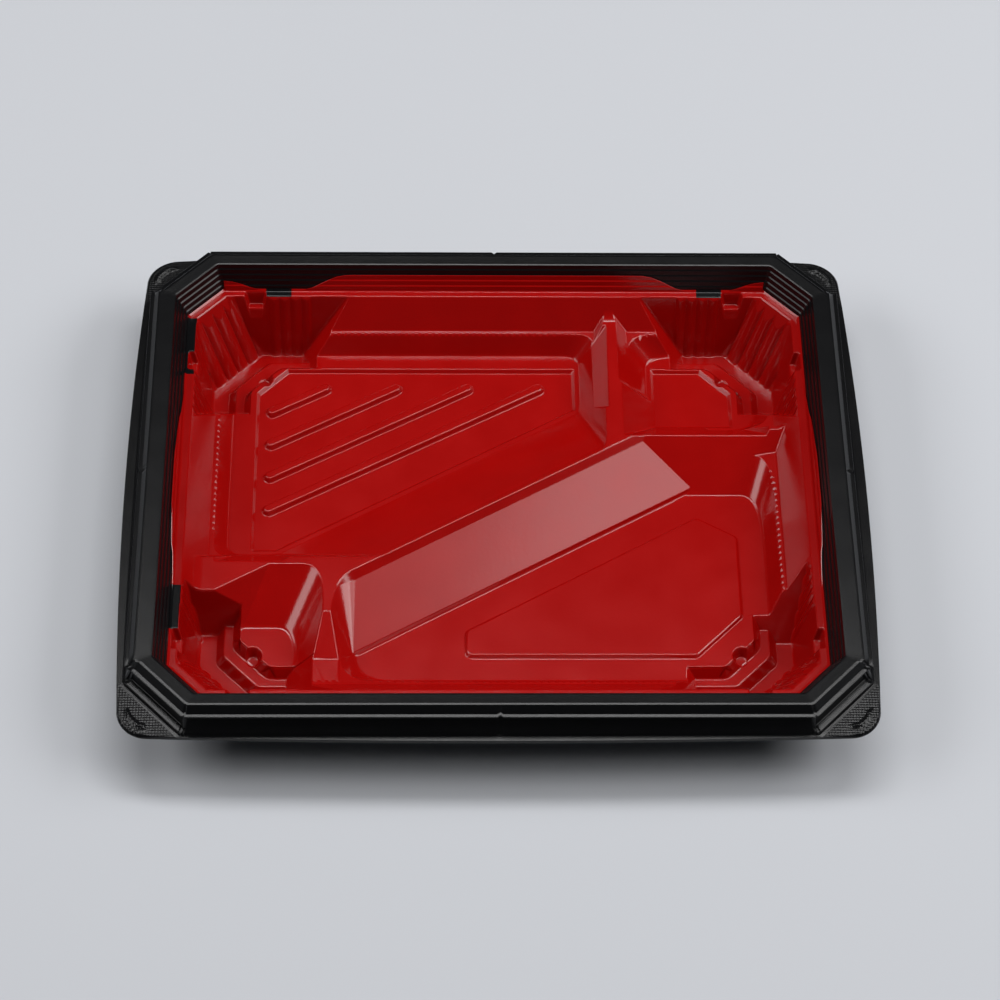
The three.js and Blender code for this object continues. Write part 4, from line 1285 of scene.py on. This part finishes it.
# Bare stretches of the ledge beside the notches of the far side and the left end: distance out, and spans
BARE_FAR_FROM = 77.3
BARE_FAR_SPAN = (69, 77.6)
BARE_LEFT_FROM = 100.3
BARE_LEFT_SPANS = ((44.5, 68), (-55.5, -39))
BARE_LEDGE_DEPTH = 0.15


def new_material(name):
    """A material with nodes, its node tree and its Principled BSDF."""
    material = bpy.data.materials.new(name)
    material.use_nodes = True
    tree = material.node_tree
    return material, tree, tree.nodes["Principled BSDF"]


def moulded_texture():
    """Node group: fine grain and broad patches over a position in millimetres."""
    name = "moulded_texture"
    if name in bpy.data.node_groups:
        return bpy.data.node_groups[name]
    group = bpy.data.node_groups.new(name, "ShaderNodeTree")
    sockets = group.interface
    sockets.new_socket("Position", in_out="INPUT", socket_type="NodeSocketVector")
    sockets.new_socket("Grain Scale", in_out="INPUT", socket_type="NodeSocketFloat")
    sockets.new_socket("Patch Scale", in_out="INPUT", socket_type="NodeSocketFloat")
    sockets.new_socket("Grain", in_out="OUTPUT", socket_type="NodeSocketFloat")
    sockets.new_socket("Patch", in_out="OUTPUT", socket_type="NodeSocketFloat")
    source = group.nodes.new("NodeGroupInput")
    result = group.nodes.new("NodeGroupOutput")
    for label, scale, detail in (("Grain", "Grain Scale", 3), ("Patch", "Patch Scale", 2)):
        noise = group.nodes.new("ShaderNodeTexNoise")
        noise.label = label
        noise.inputs["Detail"].default_value = detail
        group.links.new(source.outputs["Position"], noise.inputs["Vector"])
        group.links.new(source.outputs[scale], noise.inputs["Scale"])
        group.links.new(noise.outputs["Fac"], result.inputs[label])
    return group


def calculated(tree, operation, *values):
    """Result of a Math node over sockets and numbers."""
    node = tree.nodes.new("ShaderNodeMath")
    node.operation = operation
    for socket, value in zip(node.inputs, values):
        if isinstance(value, bpy.types.NodeSocket):
            tree.links.new(value, socket)
        else:
            socket.default_value = value
    return node.outputs["Value"]


def between(tree, value, low, high):
    """1 where a value lies between two others, else 0."""
    above = calculated(tree, "GREATER_THAN", value, low)
    return calculated(tree, "MULTIPLY", above, calculated(tree, "LESS_THAN", value, high))


def position_group(name, result):
    """A node group from a position in millimetres to a value, and the position's X, Y and Z."""
    group = bpy.data.node_groups.new(name, "ShaderNodeTree")
    group.interface.new_socket("Position", in_out="INPUT", socket_type="NodeSocketVector")
    group.interface.new_socket(result, in_out="OUTPUT", socket_type="NodeSocketFloat")
    source = group.nodes.new("NodeGroupInput")
    split = group.nodes.new("ShaderNodeSeparateXYZ")
    group.links.new(source.outputs["Position"], split.inputs["Vector"])
    return group, *split.outputs


def tab_hatch():
    """Node group: height of the crossed ridges on the corner tabs, sin(k(x + y)) sin(k(x - y))."""
    group, x, y, _ = position_group("tab_hatch", "Height")
    out_x, out_y = (calculated(group, "ABSOLUTE", part) for part in (x, y))
    out = calculated(group, "ADD", out_x, out_y)
    across = calculated(group, "SUBTRACT", out_x, out_y)
    turn = 2 * math.pi / HATCH_PITCH
    waves = [
        calculated(group, "SINE", calculated(group, "MULTIPLY", place, turn))
        for place in (out, across)
    ]
    on_tab = calculated(group, "GREATER_THAN", out, TAB_START)
    ridges = calculated(group, "MULTIPLY", *waves)
    height = calculated(group, "MULTIPLY", calculated(group, "MULTIPLY", ridges, on_tab), HATCH_HEIGHT)
    group.links.new(height, group.nodes.new("NodeGroupOutput").inputs["Height"])
    return group


def print_gaps():
    """Node group: 1 where the print leaves the ledge bare, beside the stacking notches."""
    group, x, y, z = position_group("print_gaps", "Bare")
    far = calculated(group, "GREATER_THAN", y, BARE_FAR_FROM)
    far_span = between(group, calculated(group, "ABSOLUTE", x), *BARE_FAR_SPAN)
    left = calculated(group, "LESS_THAN", x, -BARE_LEFT_FROM)
    left_spans = [between(group, y, *sorted(span)) for span in BARE_LEFT_SPANS]
    on_far = calculated(group, "MULTIPLY", far, far_span)
    on_left = calculated(group, "MULTIPLY", left, calculated(group, "MAXIMUM", *left_spans))
    either = calculated(group, "MAXIMUM", on_far, on_left)
    on_ledge = calculated(group, "GREATER_THAN", z, LEDGE_LEVEL - BARE_LEDGE_DEPTH)
    bare = calculated(group, "MULTIPLY", either, on_ledge)
    group.links.new(bare, group.nodes.new("NodeGroupOutput").inputs["Bare"])
    return group


def grouped(tree, group, position):
    """A node for a group, fed with a position."""
    node = tree.nodes.new("ShaderNodeGroup")
    node.node_tree = group
    tree.links.new(position, node.inputs["Position"])
    return node


def textured(tree, shader, colour, roughness, bump, grain_scale, patch_scale):
    """Give a shader a colour and roughness that vary in patches, and a fine grain.

    Also gives the sockets of the position, the colour and the grain, and the bump node.
    """
    nodes, links = tree.nodes, tree.links
    place = nodes.new("ShaderNodeTexCoord")
    to_mm = nodes.new("ShaderNodeVectorMath")
    to_mm.operation = "SCALE"
    to_mm.inputs["Scale"].default_value = 1 / MM
    links.new(place.outputs["Object"], to_mm.inputs[0])
    texture = grouped(tree, moulded_texture(), to_mm.outputs["Vector"])
    texture.inputs["Grain Scale"].default_value = grain_scale
    texture.inputs["Patch Scale"].default_value = patch_scale
    tint = nodes.new("ShaderNodeMix")
    tint.data_type = "RGBA"
    tint.inputs["A"].default_value = (*((1 - TINT_SPREAD) * part for part in colour), 1)
    tint.inputs["B"].default_value = (*((1 + TINT_SPREAD) * part for part in colour), 1)
    links.new(texture.outputs["Patch"], tint.inputs["Factor"])
    links.new(tint.outputs["Result"], shader.inputs["Base Color"])
    gloss = nodes.new("ShaderNodeMapRange")
    gloss.inputs["To Min"].default_value = roughness[0]
    gloss.inputs["To Max"].default_value = roughness[1]
    links.new(texture.outputs["Patch"], gloss.inputs["Value"])
    links.new(gloss.outputs["Result"], shader.inputs["Roughness"])
    relief = nodes.new("ShaderNodeBump")
    relief.inputs["Strength"].default_value = 1
    relief.inputs["Distance"].default_value = bump * MM
    links.new(texture.outputs["Grain"], relief.inputs["Height"])
    links.new(relief.outputs["Normal"], shader.inputs["Normal"])
    return to_mm.outputs["Vector"], tint.outputs["Result"], texture.outputs["Grain"], relief


def film_material(finish):
    """Glossy printed film with a faint orange peel."""
    material, tree, shader = new_material("printed_film")
    position, tint, _, _ = textured(
        tree, shader, finish.film, FILM_ROUGHNESS, FILM_PEEL, FILM_PEEL_SCALE, FILM_PATCH_SCALE)
    colour = tree.nodes.new("ShaderNodeMix")
    colour.data_type = "RGBA"
    colour.inputs["B"].default_value = (*finish.sheet, 1)
    tree.links.new(grouped(tree, print_gaps(), position).outputs["Bare"], colour.inputs["Factor"])
    tree.links.new(tint, colour.inputs["A"])
    tree.links.new(colour.outputs["Result"], shader.inputs["Base Color"])
    return material


def sheet_material(finish):
    """Satin black sheet with a fine grain."""
    material, tree, shader = new_material("formed_sheet")
    position, _, grain, relief = textured(
        tree, shader, finish.sheet, SHEET_ROUGHNESS, SHEET_GRAIN, SHEET_GRAIN_SCALE, SHEET_PATCH_SCALE)
    hatch = grouped(tree, tab_hatch(), position).outputs["Height"]
    tree.links.new(calculated(tree, "ADD", grain, hatch), relief.inputs["Height"])
    shader.inputs["Specular IOR Level"].default_value = SHEET_SPECULAR
    return material


class TRAY_OT_sheet(bpy.types.Operator):
    """Add the formed black sheet: rim, throat, skirt, lip, and the underside of the wells and feet"""

    bl_idname = "tray.add_sheet"
    bl_label = "Add formed sheet"

    def execute(self, context):
        sizes = context.scene.tray_sizes
        wells = wells_surface(sizes, HIDDEN_FACE, UNDERSIDE, UNDERSIDE, SHEET_TRIANGLES)
        material = sheet_material(context.scene.tray_finish)
        piece = add_piece("formed_sheet", [wells, rim_surface(rim_path())], material)
        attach(piece, "root")
        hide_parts(SHEET_NODE)
        return {"FINISHED"}


class TRAY_OT_film(bpy.types.Operator):
    """Add the red printed film: the lining of the wells, the ledge and the lower throat"""

    bl_idname = "tray.add_film"
    bl_label = "Add printed film"

    def execute(self, context):
        sizes = context.scene.tray_sizes
        wells = wells_surface(sizes, 0, FILM, 0, FILM_TRIANGLES)
        material = film_material(context.scene.tray_finish)
        piece = add_piece("printed_film", [wells, print_band(rim_path())], material)
        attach(piece, "root")
        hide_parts(FILM_NODE)
        return {"FINISHED"}


# Camera of the photograph: eye in millimetres, angles in degrees
EYE = (-20.4358, -533.2007, 793.6836)
PITCH = 55.557
YAW = -2.329
ROLL = 1.988
LENS = 103.49
SENSOR = 36
CLIP_START = 0.05
CLIP_END = 20


def add_camera():
    """Camera at the photograph's angle, looking along Y, pitched down, turned and rolled."""
    data = bpy.data.cameras.new("camera")
    data.lens = LENS
    data.sensor_width = SENSOR
    data.clip_start = CLIP_START
    data.clip_end = CLIP_END
    camera = bpy.data.objects.new("camera", data)
    pitch = Matrix.Rotation(math.radians(90 - PITCH), 4, "X")
    yaw = Matrix.Rotation(math.radians(YAW), 4, "Z")
    roll = Matrix.Rotation(math.radians(ROLL), 4, "Z")
    camera.matrix_world = Matrix.Translation([MM * part for part in EYE]) @ yaw @ pitch @ roll
    bpy.context.scene.collection.objects.link(camera)
    bpy.context.scene.camera = camera


# Studio light: place and size of each softbox in metres, and its radiance
SOFTBOXES = (
    ("key", (0.05, 0.47, 1.5), (1.3, 0.3), 10),
    ("overhead left", (0.53, -0.08, 1.75), (0.4, 0.8), 0.9),
    ("overhead right", (1.12, -0.08, 1.75), (0.62, 0.8), 2.6),
    ("right", (1.1, 0, 1.0), (1.0, 0.58), 5),
    ("left", (-1.1, 0, 1.0), (1.0, 0.58), 4.2),
)
STUDIO_COLOUR = (0.9, 0.95, 1, 1)
STUDIO_STRENGTH = 0.03
FLOOR_HALF = 6
FLOOR_ROUGHNESS = 0.9


def add_softbox(name, place, size, radiance):
    """Rectangular area lamp at a place, turned to the tray, that looks evenly bright."""
    data = bpy.data.lights.new(name, "AREA")
    data.shape = "RECTANGLE"
    data.size, data.size_y = size
    data.energy = radiance * math.pi * size[0] * size[1]
    lamp = bpy.data.objects.new(name, data)
    lamp.rotation_euler = (-Vector(place)).to_track_quat("-Z", "Y").to_euler()
    lamp.location = place
    bpy.context.scene.collection.objects.link(lamp)


def add_floor(colour):
    """Wide pale floor under the tray."""
    corners = [(x * FLOOR_HALF, y * FLOOR_HALF, 0) for x, y in ((-1, -1), (1, -1), (1, 1), (-1, 1))]
    mesh = bpy.data.meshes.new("floor")
    mesh.from_pydata(corners, [], [(0, 1, 2, 3)])
    material, _, shader = new_material("floor")
    shader.inputs["Base Color"].default_value = (*colour, 1)
    shader.inputs["Roughness"].default_value = FLOOR_ROUGHNESS
    mesh.materials.append(material)
    floor = bpy.data.objects.new("floor", mesh)
    bpy.context.scene.collection.objects.link(floor)


class TRAY_OT_stage(bpy.types.Operator):
    """Add the floor, the soft studio light and the camera"""

    bl_idname = "tray.add_stage"
    bl_label = "Add stage"

    def execute(self, context):
        scene = context.scene
        add_floor(scene.tray_finish.floor)
        add_camera()
        for name, place, size, radiance in SOFTBOXES:
            add_softbox(name, place, size, radiance)
        world = bpy.data.worlds.new("studio")
        world.use_nodes = True
        background = world.node_tree.nodes["Background"]
        background.inputs["Color"].default_value = STUDIO_COLOUR
        background.inputs["Strength"].default_value = STUDIO_STRENGTH
        scene.world = world
        scene.view_settings.view_transform = "Standard"
        return {"FINISHED"}


class TRAY_PT_panel(bpy.types.Panel):
    """Sizes, finishes and pieces of the lunch tray"""

    bl_label = "Lunch Tray"
    bl_idname = "TRAY_PT_panel"
    bl_space_type = "VIEW_3D"
    bl_region_type = "UI"
    bl_category = "Lunch Tray"

    def draw(self, context):
        for group in (context.scene.tray_sizes, context.scene.tray_finish):
            box = self.layout.box()
            for name in group.__annotations__:
                box.prop(group, name)
        for operator in (TRAY_OT_sheet, TRAY_OT_film, TRAY_OT_stage):
            self.layout.operator(operator.bl_idname)


CLASSES = (TraySizes, TrayFinish, TRAY_OT_sheet, TRAY_OT_film, TRAY_OT_stage, TRAY_PT_panel)


def register():
    for each in CLASSES:
        bpy.utils.register_class(each)
    bpy.types.Scene.tray_sizes = bpy.props.PointerProperty(type=TraySizes)
    bpy.types.Scene.tray_finish = bpy.props.PointerProperty(type=TrayFinish)


def unregister():
    del bpy.types.Scene.tray_sizes
    del bpy.types.Scene.tray_finish
    for each in reversed(CLASSES):
        bpy.utils.unregister_class(each)


def main():
    """Register the classes, and add the pieces and the stage."""
    register()
    bpy.ops.tray.add_sheet()
    bpy.ops.tray.add_film()
    bpy.ops.tray.add_stage()


if __name__ == "__main__":
    main()
